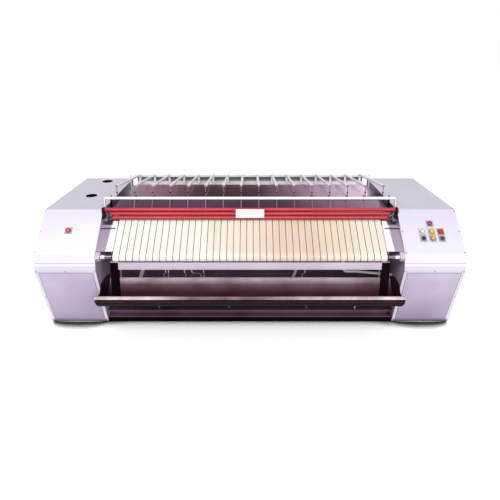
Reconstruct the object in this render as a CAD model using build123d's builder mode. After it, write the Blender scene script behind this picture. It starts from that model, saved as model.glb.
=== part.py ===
from build123d import *

import math
import os

# Flatwork ironer: two padded rolls in heated half-round chests, fed by a table of canvas belts.
# Millimetres. X runs along the rolls, Y to the rear, Z up. The origin is on the floor, in the
# middle of the footprint.

# ---- Cabinets ----
overall_width = 4200
cabinet_width = 595
cabinet_top = 1227
cabinet_back = 830
floor_gap = 12
toe = (-474, floor_gap)
band_low = (-738, 722)
band_high = (-722, 884)
brow = (-390, cabinet_top)
panel_sheet = 2
side_frame_sheet = 12
cut_margin = 20
lower_seam_height = 793
seam_gap = 3
inner_face = overall_width / 2 - cabinet_width
weld_gap = 0.3

# ---- Base ----
base_tube = 60
base_height = 30
foot_radius = 30
foot_stem_radius = 10
beam_front = -470
beam_depth = 80
beam_low = 53
beam_high = 135
beam_wall = 8
drip_pan_height = 60
drip_pan_sheet = 2
skirt_low = 5
skirt_sheet = 4

# ---- Rolls, chests and tapes ----
roll_radius = 200
roll_height = 1039
front_roll_y = -78
roll_spacing = 546
roll_end_gap = 105
pad_thickness = 20
pad_gather = 14
core_wall = 8
core_end_gap = 20
core_end_plate = 20
journal_radius = 40
journal_clearance = 0.05
journal_hole_gap = 22
roll_bearing_size = 170
roll_bearing_depth = 60
nip_gap = 3
chest_wall = 47
chest_inner_skin = 16
chest_outer_skin = 12
chest_overhang = 20
chest_end_plate = 20
chest_foot_width = 240
chest_foot_drop = 29
support_sheet = 12
support_height = 120
bridge_sheet = 4
tape_width = 10
tape_thickness = 1
tape_clearance = 0.3
tape_side_gap = 1
tape_pitch = 190
tape_end_gap = 160
tape_rod_y = -124
tape_rod_height = 1270
tape_rod_radius = 8
tape_pulley_radius = 20
tape_pulley_flange = 8

# ---- Feed table ----
table_angle = 40
feed_roller_y = -698
feed_roller_height = 848
feed_roller_radius = 42
feed_roller_wall = 5
feed_roller_spacing = 415
feed_shaft_radius = 22
feed_shaft_clearance = 0.05
feed_shaft_hole_gap = 4
feed_tube_gap = 160
belt_thickness = 2.7
belt_clearance = 0.3
belt_pitch = 65
belt_width = 59
belt_side_gap = 172
bed_sheet = 3
bed_start = 36
bed_end = 330
bed_side_gap = 2
bed_tube = 30
bed_tube_places = (95, 300)
apron_inner_gap = 165
apron_low_gap = 94
apron_high_gap = 114
apron_end = 375
apron_pin_place = 285
apron_pin_radius = 4
apron_pin_reach = 151
rail_front = -738
rail_low = 732
rail_high = 807
rail_sheet = 3
rail_flange = 42
rail_end_gap = 225
post_width = 80
post_depth = 25
arm_sheet = 12
arm_width = 48
bracket_gap = 2
feed_bearing_depth = 46
feed_bearing_size = 70

# ---- Guard, bars and rack ----
guard_tube_radius = 18.5
guard_tube_wall = 2
guard_tubes = ((-415, 1235, 29), (-430, 1196, 90), (-445, 1159, 109))
guard_end_sheet = 6
guard_end_rim = 4
guard_plug_length = 30
guard_plate_width = 286
guard_plate_height = 84
guard_plate_sheet = 2
guard_pin_radius = 8
guard_pin_clearance = 0.05
bar_y = -320
bar_height = 1326
bar_radius = 15
post_sheet = 8
bar_post_width = 40
bar_post_low = 1130
rack_y = 703
rack_clearance = 65
rack_tube = 24
rack_post_low = 1100
rack_arm_pitch = 183.6
rack_arm_end_gap = 120
rack_arm_width = 24
rack_arm_thickness = 6
rack_arm_depth = 20
rack_arm_rise = 141
hanger_width = 6
hanger_knob_height = 1381
hanger_knob_radius = 7
hanger_knob_width = 12
rack_strip_low = 1182
deflector_sheet = 3
rear_cover_low = 60
rear_cover_high = 1000
rear_cover_flange = 40

# ---- Catch trough ----
trough_front = -828.5
trough_rear = -330
trough_rim = 438
trough_bottom = 292
lip_top = 497
trough_sheet = 3
lip_width = 6
trough_end_sheet = 3
cheek_rise = 49
cheek_outline = ((83, 88), (-50, 78), (-98, 5))
strap_sheet = 4
strap_lines = ((12, -107, 6), (234, 103, 20), (1741, 1741, 12), (2548, 2667, 6))
strut_places = (-970, -221, 601)
strut_width = 20

# ---- Drive ----
chain_pitch = 25.4
roll_teeth = 28
drive_teeth = 15
sprocket_width = 10
tooth_tip = 4
chain_roller_radius = 8
sprocket_hub = 28
hub_wall = 15
chain_side_gap = 6
chain_plate_sheet = 3
chain_plate_half = 8
drive_y = 195
drive_height = 420
drive_shaft_radius = 20
gearbox_size = (150, 200, 200)
gearbox_gap = 10
motor_radius = 90
motor_length = 250
feed_gearbox_size = 90
feed_motor_radius = 45
feed_motor_length = 160

# ---- Controls and vents ----
bezel_size = 68
bezel_thickness = 6
console_column_pitch = 91
console_rows = (157, 243, 315)
console_gap = 301
left_stop_gap = 305
left_stop_distance = 231
cap_radius = 17
cap_height = 14
cap_chamfer = 1.5
stop_cap_radius = 22
stop_cap_height = 18
cap_clearance = 0.1
cap_travel = 4
button_stem_radius = 8
button_stem_length = 30
stem_clearance = 0.05
contact_size = 40
contact_depth = 34
selector_grip = 7
selector_inset = 1
port_radius = 56
port_wall = 6
port_flange = 6
port_depth = 120
port_places = ((285, 682), (280, 83))
screw_radius = 7
screw_height = 3
screw_taper = 15
screw_inset = 14
screw_slope_gaps = (20, 240, 460)
screw_top_gaps = (20, 390, 810, 1200)

# ---- Pipes and cables ----
condensate_diameter = 27
pipe_end_gap = 2
pipe_gap = 524
pipe_front = -400
pipe_level = 545
pipe_fall = 150
pipe_sag = 40
pipe_bend = 40
pipe_long_bend = 300
hose_gap = 388
hose_diameter = 16
hose_rise = 28
cable_diameter = 7
cable_drop = 45
cable_bend = 30
cable_places = ((2332, -97), (2304, -76), (2148, -45), (2075, 40), (1959, -40), (967, 20))

# ---- What follows from the sizes above ----
half_width = overall_width / 2
roll_half = inner_face - roll_end_gap
rear_roll_y = front_roll_y + roll_spacing
core_radius = roll_radius - pad_thickness
chest_radius = roll_radius + nip_gap
chest_outer_radius = chest_radius + chest_wall
chest_half = roll_half + chest_overhang
chest_foot = roll_height - chest_outer_radius - chest_foot_drop
belt_radius = feed_roller_radius + belt_clearance + belt_thickness
slope = math.radians(table_angle)
rear_feed_y = feed_roller_y + feed_roller_spacing * math.cos(slope)
rear_feed_height = feed_roller_height + feed_roller_spacing * math.sin(slope)
table_plane = Plane(
    origin=(0, feed_roller_y, feed_roller_height),
    x_dir=(1, 0, 0),
    z_dir=(0, -math.sin(slope), math.cos(slope)),
)
console_rise = cabinet_top - band_high[1]
console_run = brow[0] - band_high[0]
console = Plane(origin=(0, *brow), x_dir=(1, 0, 0), z_dir=(0, -console_rise, console_run))
cabinet_profile = (toe, band_low, band_high, brow, (cabinet_back, cabinet_top), (cabinet_back, floor_gap))
roll_pitch_radius = chain_pitch / (2 * math.sin(math.pi / roll_teeth))
drive_pitch_radius = chain_pitch / (2 * math.sin(math.pi / drive_teeth))
chain_x = inner_face + side_frame_sheet + roll_bearing_depth + sprocket_hub / 2 + chain_side_gap
rail_half = inner_face - rail_end_gap
rack_height = roll_height + roll_radius + rack_clearance
sides = {"left": -1, "right": 1}


# ---- Helpers ----
def across(side, near, far):
    """The low and high X of what spans near to far from the middle, on one side."""
    return sorted((side * near, side * far))


def spread(half_span, pitch):
    """The places of an even row about the middle."""
    count = int(half_span / pitch + 0.5)
    return [pitch * (i - count + 0.5) for i in range(2 * count)]


def block(x, y, z, mode=Mode.ADD):
    """A block given by the low and high of each axis."""
    middle = [(low + high) / 2 for low, high in (x, y, z)]
    with Locations(Location(middle)):
        Box(x[1] - x[0], y[1] - y[0], z[1] - z[0], mode=mode)


def rod(x, y, z, radius, mode=Mode.ADD):
    """A round bar along X, between two values of X."""
    with Locations(Location(((x[0] + x[1]) / 2, y, z), (0, 90, 0))):
        Cylinder(radius, x[1] - x[0], mode=mode)


def plate(points, x, mode=Mode.ADD):
    """A plate across X with an outline of straight edges."""
    with BuildSketch(Plane.YZ.offset(x[0])) as outline:
        Polygon(*points, align=None)
    extrude(outline.sketch, amount=x[1] - x[0], mode=mode)


def taut_loop(wheels, grow):
    """The outline of a taut loop round wheels, each (y, z, radius), grown by an amount."""
    rims = [Pos(y, z) * Circle(radius + grow, mode=Mode.PRIVATE) for y, z, radius in wheels]
    return make_hull([rim.edge() for rim in rims], mode=Mode.PRIVATE)


def pipe(points, radii, diameter):
    """A round pipe along straight runs joined by bends."""
    with BuildLine() as route:
        FilletPolyline(*points, radius=radii)
    with BuildSketch(Plane(origin=route.line @ 0, z_dir=route.line % 0)) as bore:
        Circle(diameter / 2)
    sweep(bore.sketch, path=route.line)


# ---- Cabinet shells ----
def inset_profile():
    """The cabinet's outline inside its wrap of sheet."""
    Polygon(*cabinet_profile, align=None)
    offset(amount=-panel_sheet, kind=Kind.INTERSECTION)


def side_frame(side):
    """The thick plate that carries the rolls, chests, table and trough."""
    with BuildPart() as made:
        with BuildSketch(Plane.YZ.offset(across(side, inner_face, inner_face + side_frame_sheet)[0])):
            inset_profile()
            with Locations((front_roll_y, roll_height), (rear_roll_y, roll_height)):
                Circle(journal_radius + journal_hole_gap, mode=Mode.SUBTRACT)
            with Locations((rear_feed_y, rear_feed_height)):
                Circle(feed_shaft_radius + feed_shaft_hole_gap, mode=Mode.SUBTRACT)
        extrude(amount=side_frame_sheet)
    return made


def skin(side, low, high):
    """The sheet of a cabinet's wrap that lies inside a region of its profile."""
    with BuildSketch(Plane.YZ.offset(across(side, inner_face, half_width)[0])) as wrap:
        Polygon(*cabinet_profile, align=None)
        with BuildSketch(mode=Mode.SUBTRACT):
            inset_profile()
        with BuildSketch(mode=Mode.INTERSECT):
            with Locations(((low[0] + high[0]) / 2, (low[1] + high[1]) / 2)):
                Rectangle(high[0] - low[0], high[1] - low[1])
    extrude(wrap.sketch, amount=cabinet_width)


front_limit = band_low[0] - cut_margin
top_limit = cabinet_top + cut_margin
shell = {}
for name, side in sides.items():
    with BuildPart() as shell[f"{name}_top_cover"]:
        skin(side, (brow[0], cabinet_top - panel_sheet), (cabinet_back, top_limit))
        if name == "left":
            with BuildSketch(Plane.XY.offset(top_limit)) as vents:
                with Locations(*[(-inner_face - gap, y) for gap, y in port_places]):
                    Circle(port_radius + weld_gap)
            extrude(vents.sketch, amount=-2 * cut_margin, mode=Mode.SUBTRACT)
    with BuildPart() as shell[f"{name}_upper_front_panel"]:
        skin(side, (front_limit, lower_seam_height), (brow[0] - weld_gap, cabinet_top))

lower_front_top = lower_seam_height - seam_gap
with BuildPart() as lower_front_panels:
    for side in sides.values():
        skin(side, (front_limit, floor_gap + panel_sheet), (beam_front + base_tube, lower_front_top))

rear_panel_top = cabinet_top - panel_sheet - weld_gap
with BuildPart() as rear_panels:
    for side in sides.values():
        skin(side, (cabinet_back - panel_sheet, floor_gap), (cabinet_back, rear_panel_top))

with BuildPart() as outer_panels:
    for side in sides.values():
        with BuildSketch(Plane.YZ.offset(across(side, half_width - panel_sheet, half_width)[0])):
            inset_profile()
        extrude(amount=panel_sheet)

# ---- Controls: (column, distance down the slope, kind) ----
console_x = inner_face + console_gap
controls = {
    "left_emergency_stop": (-inner_face - left_stop_gap, left_stop_distance, "stop"),
    "right_emergency_stop": (console_x, console_rows[0], "stop"),
    "start_button": (console_x - console_column_pitch, console_rows[1], "push"),
    "pause_button": (console_x, console_rows[1], "push"),
    "stop_button": (console_x + console_column_pitch, console_rows[1], "push"),
    "mode_selector": (console_x - console_column_pitch, console_rows[2], "turn"),
    "jog_button": (console_x, console_rows[2], "push"),
    "reset_button": (console_x + console_column_pitch, console_rows[2], "push"),
}
control_places = [(x, -down) for x, down, _ in controls.values()]
stem_bore = button_stem_radius + stem_clearance


def on_console(amount, radius=None, square=None, start=0, mode=Mode.ADD, where=control_places):
    """Round or square blocks that stand on the sloping panels at the controls' places."""
    with BuildSketch(console.offset(start)) as outline:
        with Locations(*where):
            if radius:
                Circle(radius)
            else:
                Rectangle(square, square)
    extrude(outline.sketch, amount=amount, mode=mode)


for name in sides:
    with shell[f"{name}_upper_front_panel"]:
        on_console(-2 * cut_margin, radius=stem_bore, start=cut_margin, mode=Mode.SUBTRACT)

with BuildPart() as button_bezels:
    on_console(bezel_thickness, square=bezel_size)
    on_console(bezel_thickness, radius=stop_cap_radius + cap_clearance, mode=Mode.SUBTRACT)
    on_console(bezel_thickness / 2, radius=stop_cap_radius + cap_clearance)
    on_console(bezel_thickness, radius=stem_bore, mode=Mode.SUBTRACT)
    on_console(-contact_depth, square=contact_size, start=-panel_sheet)
    on_console(-contact_depth, radius=stem_bore, start=-panel_sheet, mode=Mode.SUBTRACT)

buttons = {}
cap_seat = bezel_thickness / 2 + cap_travel + weld_gap
for name, (x, down, kind) in controls.items():
    place = [(x, -down)]
    with BuildPart() as buttons[name]:
        if kind == "stop":
            on_console(stop_cap_height, radius=stop_cap_radius, start=cap_seat, where=place)
            rim = buttons[name].faces().sort_by(Axis(console.origin, console.z_dir))[-1]
            fillet(rim.edges(), radius=stop_cap_height / 3)
            on_console(-button_stem_length, radius=button_stem_radius, start=cap_seat, where=place)
        elif kind == "push":
            on_console(cap_height, radius=cap_radius, start=cap_seat, where=place)
            rim = buttons[name].faces().sort_by(Axis(console.origin, console.z_dir))[-1]
            chamfer(rim.edges(), length=cap_chamfer)
            on_console(-button_stem_length, radius=button_stem_radius, start=cap_seat, where=place)
        else:
            low = bezel_thickness / 2 + weld_gap
            on_console(cap_height, radius=cap_radius, start=low, where=place)
            with BuildSketch(console.offset(low + cap_height)) as grip:
                with Locations(*place):
                    SlotOverall(2 * (cap_radius - selector_inset), selector_grip, rotation=90)
            extrude(grip.sketch, amount=cap_height)
            on_console(-button_stem_length, radius=button_stem_radius, start=low, where=place)

# ---- Base frames, feet, beams, drip pan and floor skirt ----
tube_low = inner_face + side_frame_sheet
tube_high = half_width - panel_sheet
base_z = (base_height, base_height + base_tube)
base_y = (beam_front, cabinet_back - 2 * panel_sheet)
cross_tube_places = (
    base_y[0] + base_tube,
    drive_y - gearbox_size[1] / 3,
    drive_y + gearbox_size[1] / 3,
    base_y[1] - base_tube,
)
foot_places = []
with BuildPart() as base_frames:
    for side in sides.values():
        block(across(side, tube_low, tube_low + base_tube), base_y, base_z)
        block(across(side, tube_high - base_tube, tube_high), base_y, base_z)
        inside = across(side, tube_low + base_tube + weld_gap, tube_high - base_tube - weld_gap)
        for y in cross_tube_places:
            block(inside, (y - base_tube / 2, y + base_tube / 2), base_z)
        for y in (base_y[0] + base_tube, base_y[1] - base_tube):
            foot_places.append((side * (tube_low + base_tube / 2), y))
            foot_places.append((side * (tube_high - base_tube / 2), y))

with BuildPart() as levelling_feet:
    with BuildSketch() as pads:
        with Locations(*foot_places):
            Circle(foot_radius)
    extrude(pads.sketch, amount=floor_gap)
    with BuildSketch() as stems:
        with Locations(*foot_places):
            Circle(foot_stem_radius)
    extrude(stems.sketch, amount=base_height)

with BuildPart() as cross_beams:
    for front, web in ((beam_front, beam_wall), (cabinet_back - beam_depth - base_tube, -beam_wall)):
        span = (-inner_face, inner_face)
        block(span, (front, front + beam_depth), (beam_low, beam_high))
        hollow = (front - web, front + beam_depth - web)
        block(span, hollow, (beam_low + beam_wall, beam_high - beam_wall), mode=Mode.SUBTRACT)
    pan_front = beam_front + beam_depth + weld_gap
    pan_back = cabinet_back - base_tube - beam_depth - weld_gap
    block(span, (pan_front, pan_back), (drip_pan_height, drip_pan_height + drip_pan_sheet))
    skirt_y = (beam_front + weld_gap, beam_front + weld_gap + skirt_sheet)
    block(span, skirt_y, (skirt_low, beam_low - weld_gap))

# ---- Chests ----
def keep_lower_half(roll_y):
    """Cuts a chest's section off at the height of its roll's axis."""
    with Locations((roll_y, roll_height)):
        Rectangle(
            2 * chest_outer_radius,
            2 * chest_outer_radius,
            align=(Align.CENTER, Align.MAX),
            mode=Mode.INTERSECT,
        )


def chest(roll_y):
    """A hollow half-round chest under a roll, with its end plates and feet."""
    with BuildPart() as made:
        with BuildSketch(Plane.YZ.offset(-chest_half + chest_end_plate + weld_gap)) as ring:
            with Locations((roll_y, roll_height)):
                Circle(chest_outer_radius)
                Circle(chest_radius, mode=Mode.SUBTRACT)
                Circle(chest_outer_radius - chest_outer_skin, mode=Mode.SUBTRACT)
                Circle(chest_radius + chest_inner_skin)
                Circle(chest_radius, mode=Mode.SUBTRACT)
            rim_middle = chest_radius + chest_wall / 2
            for rim_y in (roll_y - rim_middle, roll_y + rim_middle):
                with Locations((rim_y, roll_height)):
                    Rectangle(chest_wall, 2 * chest_outer_skin)
            keep_lower_half(roll_y)
            with Locations((roll_y, roll_height)):
                Circle(chest_radius, mode=Mode.SUBTRACT)
        extrude(ring.sketch, amount=2 * (chest_half - chest_end_plate - weld_gap))
        for side in sides.values():
            end_x = across(side, chest_half - chest_end_plate, chest_half)
            with BuildSketch(Plane.YZ.offset(end_x[0])) as end:
                with Locations((roll_y, roll_height)):
                    Circle(chest_outer_radius)
                keep_lower_half(roll_y)
                foot_height = roll_height - chest_foot - core_radius
                with Locations((roll_y, chest_foot)):
                    Rectangle(chest_foot_width, foot_height, align=(Align.CENTER, Align.MIN))
                with Locations((roll_y, roll_height)):
                    Circle(chest_radius, mode=Mode.SUBTRACT)
            extrude(end.sketch, amount=chest_end_plate)
    return made


front_chest = chest(front_roll_y)
rear_chest = chest(rear_roll_y)

with BuildPart() as chest_supports:
    for side in sides.values():
        for y in (front_roll_y, rear_roll_y):
            width = (y - chest_foot_width / 2, y + chest_foot_width / 2)
            shelf = across(side, chest_half - chest_end_plate, inner_face)
            block(shelf, width, (chest_foot - support_sheet, chest_foot))
            flange = across(side, inner_face - support_sheet, inner_face)
            block(flange, width, (chest_foot - support_height, chest_foot))

bridge_radius = roll_spacing / 2 - chest_radius
bridge_y = front_roll_y + roll_spacing / 2
with BuildPart() as bridge_plate:
    with BuildSketch(Plane.YZ.offset(-chest_half)) as arch:
        with Locations((bridge_y, roll_height)):
            Circle(bridge_radius)
            Circle(bridge_radius - bridge_sheet, mode=Mode.SUBTRACT)
            upper = (2 * bridge_radius, bridge_radius)
            Rectangle(*upper, align=(Align.CENTER, Align.MIN), mode=Mode.INTERSECT)
    extrude(arch.sketch, amount=2 * chest_half)

# ---- Rolls ----
bearing_inner = inner_face + side_frame_sheet
bearing_outer = bearing_inner + roll_bearing_depth
journal_end = chain_x + sprocket_hub / 2


def roll_core(roll_y):
    """A steel tube with end discs and journals."""
    core_half = roll_half - core_end_gap
    hollow_half = core_half - core_end_plate
    hollow_radius = core_radius - core_wall
    with BuildPart() as made:
        rod((-core_half, core_half), roll_y, roll_height, core_radius)
        rod((-hollow_half, hollow_half), roll_y, roll_height, hollow_radius, mode=Mode.SUBTRACT)
        for side, reach in ((-1, bearing_outer), (1, journal_end)):
            rod(across(side, hollow_half, reach), roll_y, roll_height, journal_radius)
    return made


def roll_padding(roll_y):
    """The thick cloth round a roll, drawn in at both ends."""
    outline = (
        (-roll_half, core_radius + weld_gap),
        (-roll_half, roll_radius - pad_gather),
        (-roll_half + pad_gather, roll_radius),
        (roll_half - pad_gather, roll_radius),
        (roll_half, roll_radius - pad_gather),
        (roll_half, core_radius + weld_gap),
    )
    axis_plane = Plane(origin=(0, roll_y, roll_height), x_dir=(1, 0, 0), z_dir=(0, -1, 0))
    with BuildPart() as made:
        with BuildSketch(axis_plane) as half:
            Polygon(*outline, align=None)
        revolve(half.sketch, axis=Axis((0, roll_y, roll_height), (1, 0, 0)))
    return made


def sprocket(y, z, teeth, bore):
    """A chain wheel with a hub, turned about X."""
    pitch_radius = chain_pitch / (2 * math.sin(math.pi / teeth))
    face = Plane.YZ.offset(chain_x - sprocket_width / 2)
    with BuildPart() as made:
        with BuildSketch(face) as disc:
            with Locations((y, z)):
                Circle(pitch_radius + tooth_tip)
                with PolarLocations(pitch_radius, teeth):
                    Circle(chain_roller_radius, mode=Mode.SUBTRACT)
        extrude(disc.sketch, amount=sprocket_width)
        rod((chain_x - sprocket_hub / 2, chain_x + sprocket_hub / 2), y, z, bore + hub_wall)
        through = (chain_x - sprocket_hub, chain_x + sprocket_hub)
        rod(through, y, z, bore + journal_clearance, mode=Mode.SUBTRACT)
    return made


front_roll_core = roll_core(front_roll_y)
rear_roll_core = roll_core(rear_roll_y)
front_roll_padding = roll_padding(front_roll_y)
rear_roll_padding = roll_padding(rear_roll_y)
front_roll_sprocket = sprocket(front_roll_y, roll_height, roll_teeth, journal_radius)
rear_roll_sprocket = sprocket(rear_roll_y, roll_height, roll_teeth, journal_radius)
drive_sprocket = sprocket(drive_y, drive_height, drive_teeth, drive_shaft_radius)
gearbox_face = chain_x + sprocket_hub / 2 + gearbox_gap
drive_shaft_end = gearbox_face + gearbox_size[0] / 2
with drive_sprocket:
    rod((chain_x - sprocket_hub / 2, drive_shaft_end), drive_y, drive_height, drive_shaft_radius)

with BuildPart() as roll_bearings:
    for side in sides.values():
        for y in (front_roll_y, rear_roll_y):
            half = roll_bearing_size / 2
            housing = across(side, bearing_inner, bearing_outer)
            block(housing, (y - half, y + half), (roll_height - half, roll_height + half))
            rod(housing, y, roll_height, journal_radius + journal_clearance, mode=Mode.SUBTRACT)

with BuildPart() as gear_motor:
    half = [size / 2 for size in gearbox_size]
    box_x = (gearbox_face, gearbox_face + gearbox_size[0])
    box_y = (drive_y - half[1], drive_y + half[1])
    block(box_x, box_y, (drive_height - half[2], drive_height + half[2]))
    bore_x = (gearbox_face - cut_margin, drive_shaft_end + weld_gap)
    rod(bore_x, drive_y, drive_height, drive_shaft_radius + journal_clearance, mode=Mode.SUBTRACT)
    rod((box_x[1] + weld_gap, box_x[1] + motor_length), drive_y, drive_height, motor_radius)
    block(box_x, box_y, (base_z[1], drive_height - half[2] - weld_gap))

wheels = [
    (front_roll_y, roll_height, roll_pitch_radius),
    (rear_roll_y, roll_height, roll_pitch_radius),
    (drive_y, drive_height, drive_pitch_radius),
]
with BuildPart() as drive_chain:
    for side in sides.values():
        near = sprocket_width / 2 + weld_gap
        low = min(side * near, side * (near + chain_plate_sheet))
        with BuildSketch(Plane.YZ.offset(chain_x + low)) as links:
            add(taut_loop(wheels, chain_plate_half))
            add(taut_loop(wheels, -chain_plate_half), mode=Mode.SUBTRACT)
        extrude(links.sketch, amount=chain_plate_sheet)

# ---- Guide tapes ----
tape_run = roll_radius + tape_clearance
tape_wheels = [
    (front_roll_y, roll_height, tape_run),
    (rear_roll_y, roll_height, tape_run),
    (tape_rod_y, tape_rod_height, tape_pulley_radius + tape_clearance),
]
tape_places = spread(roll_half - tape_end_gap, tape_pitch)


def tape_region(grow):
    """What a guide tape encloses: over both rolls and its pulley, under each roll, over the bridge."""
    over = taut_loop(tape_wheels, grow)
    with BuildSketch() as region:
        add(over)
        with Locations((bridge_y, roll_height)):
            upper = (2 * roll_spacing, 2 * roll_spacing)
            Rectangle(*upper, align=(Align.CENTER, Align.MIN), mode=Mode.INTERSECT)
            Circle(roll_spacing / 2 - tape_run - grow, mode=Mode.SUBTRACT)
        with Locations((front_roll_y, roll_height), (rear_roll_y, roll_height)):
            Circle(tape_run + grow)
    return region.sketch


with BuildPart() as guide_tapes:
    with BuildSketch(*[Plane.YZ.offset(x - tape_width / 2) for x in tape_places]) as bands:
        add(tape_region(tape_thickness))
        add(tape_region(0), mode=Mode.SUBTRACT)
    extrude(bands.sketch, amount=tape_width)

bar_half = inner_face - post_sheet - weld_gap
with BuildPart() as tape_rod:
    rod((-bar_half, bar_half), tape_rod_y, tape_rod_height, tape_rod_radius)
    for x in tape_places:
        rod((x - tape_width, x + tape_width), tape_rod_y, tape_rod_height, tape_pulley_radius)
        for side in sides.values():
            flange = across(side, tape_width / 2 + tape_side_gap, tape_width)
            flange_radius = tape_pulley_radius + tape_pulley_flange
            rod((x + flange[0], x + flange[1]), tape_rod_y, tape_rod_height, flange_radius)
    for side in sides.values():
        ends = across(side, inner_face - post_sheet, inner_face)
        width = (tape_rod_y - bar_post_width / 2, tape_rod_y + bar_post_width / 2)
        block(ends, width, (bar_post_low, tape_rod_height + bar_post_width / 2))

# ---- Feed table ----
def feed_roller(y, z, left_reach):
    """A steel roller with its shaft, along X."""
    tube_half = inner_face - feed_tube_gap
    cap = 2 * feed_roller_wall
    with BuildPart() as made:
        rod((-tube_half, tube_half), y, z, feed_roller_radius)
        hollow = (cap - tube_half, tube_half - cap)
        rod(hollow, y, z, feed_roller_radius - feed_roller_wall, mode=Mode.SUBTRACT)
        for side, reach in ((-1, left_reach), (1, inner_face)):
            rod(across(side, tube_half - cap, reach), y, z, feed_shaft_radius)
    return made


feed_motor_x = inner_face + side_frame_sheet
front_feed_roller = feed_roller(feed_roller_y, feed_roller_height, inner_face)
rear_feed_roller = feed_roller(rear_feed_y, rear_feed_height, feed_motor_x + feed_gearbox_size)

with BuildPart() as feed_gear_motor:
    half = feed_gearbox_size / 2
    box_x = (-feed_motor_x - feed_gearbox_size, -feed_motor_x)
    box_z = (rear_feed_height - half, rear_feed_height + half)
    block(box_x, (rear_feed_y - half, rear_feed_y + half), box_z)
    bore_x = (box_x[0] - cut_margin, box_x[1] + cut_margin)
    bore_radius = feed_shaft_radius + feed_shaft_clearance
    rod(bore_x, rear_feed_y, rear_feed_height, bore_radius, mode=Mode.SUBTRACT)
    motor_middle = rear_feed_y + half + weld_gap + feed_motor_length / 2
    with Locations(Location((-feed_motor_x - half, motor_middle, rear_feed_height), (90, 0, 0))):
        Cylinder(feed_motor_radius - weld_gap, feed_motor_length)

belt_count = int(2 * (inner_face - belt_side_gap) / belt_pitch)
belt_places = [belt_pitch * (i - (belt_count - 1) / 2) for i in range(belt_count)]
feed_wheels = [
    (feed_roller_y, feed_roller_height, belt_radius),
    (rear_feed_y, rear_feed_height, belt_radius),
]
with BuildPart() as feed_belts:
    with BuildSketch(*[Plane.YZ.offset(x - belt_width / 2) for x in belt_places]) as loops:
        add(taut_loop(feed_wheels, 0))
        add(taut_loop(feed_wheels, -belt_thickness), mode=Mode.SUBTRACT)
    extrude(loops.sketch, amount=belt_width)

bed_top = feed_roller_radius
bed_half = inner_face - bed_side_gap
with BuildPart() as feed_bed:
    with BuildSketch(table_plane.offset(bed_top - bed_sheet)) as sheet:
        with Locations((0, (bed_start + bed_end) / 2)):
            Rectangle(2 * bed_half, bed_end - bed_start)
    extrude(sheet.sketch, amount=bed_sheet)
    with BuildSketch(table_plane.offset(bed_top - bed_sheet - weld_gap)) as tubes:
        with Locations(*[(0, place) for place in bed_tube_places]):
            Rectangle(2 * inner_face, bed_tube)
    extrude(tubes.sketch, amount=-bed_tube)

with BuildPart() as apron_plates:
    for side in sides.values():
        with BuildSketch(table_plane.offset(bed_top)) as apron:
            inner = side * (inner_face - apron_inner_gap)
            low = side * (inner_face - apron_low_gap)
            high = side * (inner_face - apron_high_gap)
            Polygon((inner, bed_start), (low, bed_start), (high, apron_end), (inner, apron_end), align=None)
        extrude(apron.sketch, amount=belt_radius - bed_top)

with BuildPart() as front_rail:
    rail_x = (-rail_half, rail_half)
    block(rail_x, (rail_front, rail_front + rail_sheet), (rail_low, rail_high))
    block(rail_x, (rail_front, rail_front + rail_flange), (rail_low, rail_low + rail_sheet))

trough_depth = trough_rim - trough_bottom
trough_radius = ((trough_rear - trough_front) ** 2 / 4 + trough_depth**2) / (2 * trough_depth)
trough_middle = (trough_front + trough_rear) / 2
trough_centre_height = trough_bottom + trough_radius
post_front = rail_front + rail_sheet
post_reach = trough_middle - post_front
trough_inner_radius = trough_radius - trough_sheet / 2
post_foot = trough_centre_height - math.sqrt(trough_inner_radius**2 - post_reach**2) + weld_gap
arm_front = feed_roller_y + feed_shaft_radius + bracket_gap
arm_back = arm_front + arm_width
corner_along = bed_tube_places[0] - bed_tube / 2
corner_rise = bed_top - bed_sheet - weld_gap - bed_tube
corner_height = feed_roller_height + corner_along * math.sin(slope) + corner_rise * math.cos(slope)
arm_top = corner_height - weld_gap
arm_low = rail_high - rail_sheet - arm_width
apron_pin_lift = belt_radius + apron_pin_radius + weld_gap
apron_pin_y = feed_roller_y + apron_pin_place * math.cos(slope) - apron_pin_lift * math.sin(slope)
apron_pin_z = feed_roller_height + apron_pin_place * math.sin(slope) + apron_pin_lift * math.cos(slope)
with BuildPart() as feed_brackets:
    for side in sides.values():
        bearing = across(side, inner_face - feed_bearing_depth, inner_face)
        for y, z in ((feed_roller_y, feed_roller_height), (rear_feed_y, rear_feed_height)):
            with Locations(Location((sum(bearing) / 2, y, z), (table_angle, 0, 0))):
                Box(feed_bearing_depth, feed_bearing_size, feed_bearing_size)
            rod(bearing, y, z, feed_shaft_radius + feed_shaft_clearance, mode=Mode.SUBTRACT)
        post = across(side, rail_half + weld_gap, rail_half + post_width)
        block(post, (post_front, post_front + post_depth), (post_foot, rail_high - rail_sheet))
        arm = across(side, rail_half + post_width - arm_sheet, rail_half + post_width)
        arm_root = post_front + post_depth + weld_gap
        plate(
            (
                (arm_root, arm_low),
                (arm_back, arm_low),
                (arm_back, arm_top),
                (arm_front, arm_top),
                (arm_front, arm_low + arm_width),
                (arm_root, arm_low + arm_width),
            ),
            arm,
        )
        pin = across(side, inner_face - apron_pin_reach, inner_face)
        rod(pin, apron_pin_y, apron_pin_z, apron_pin_radius)

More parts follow.
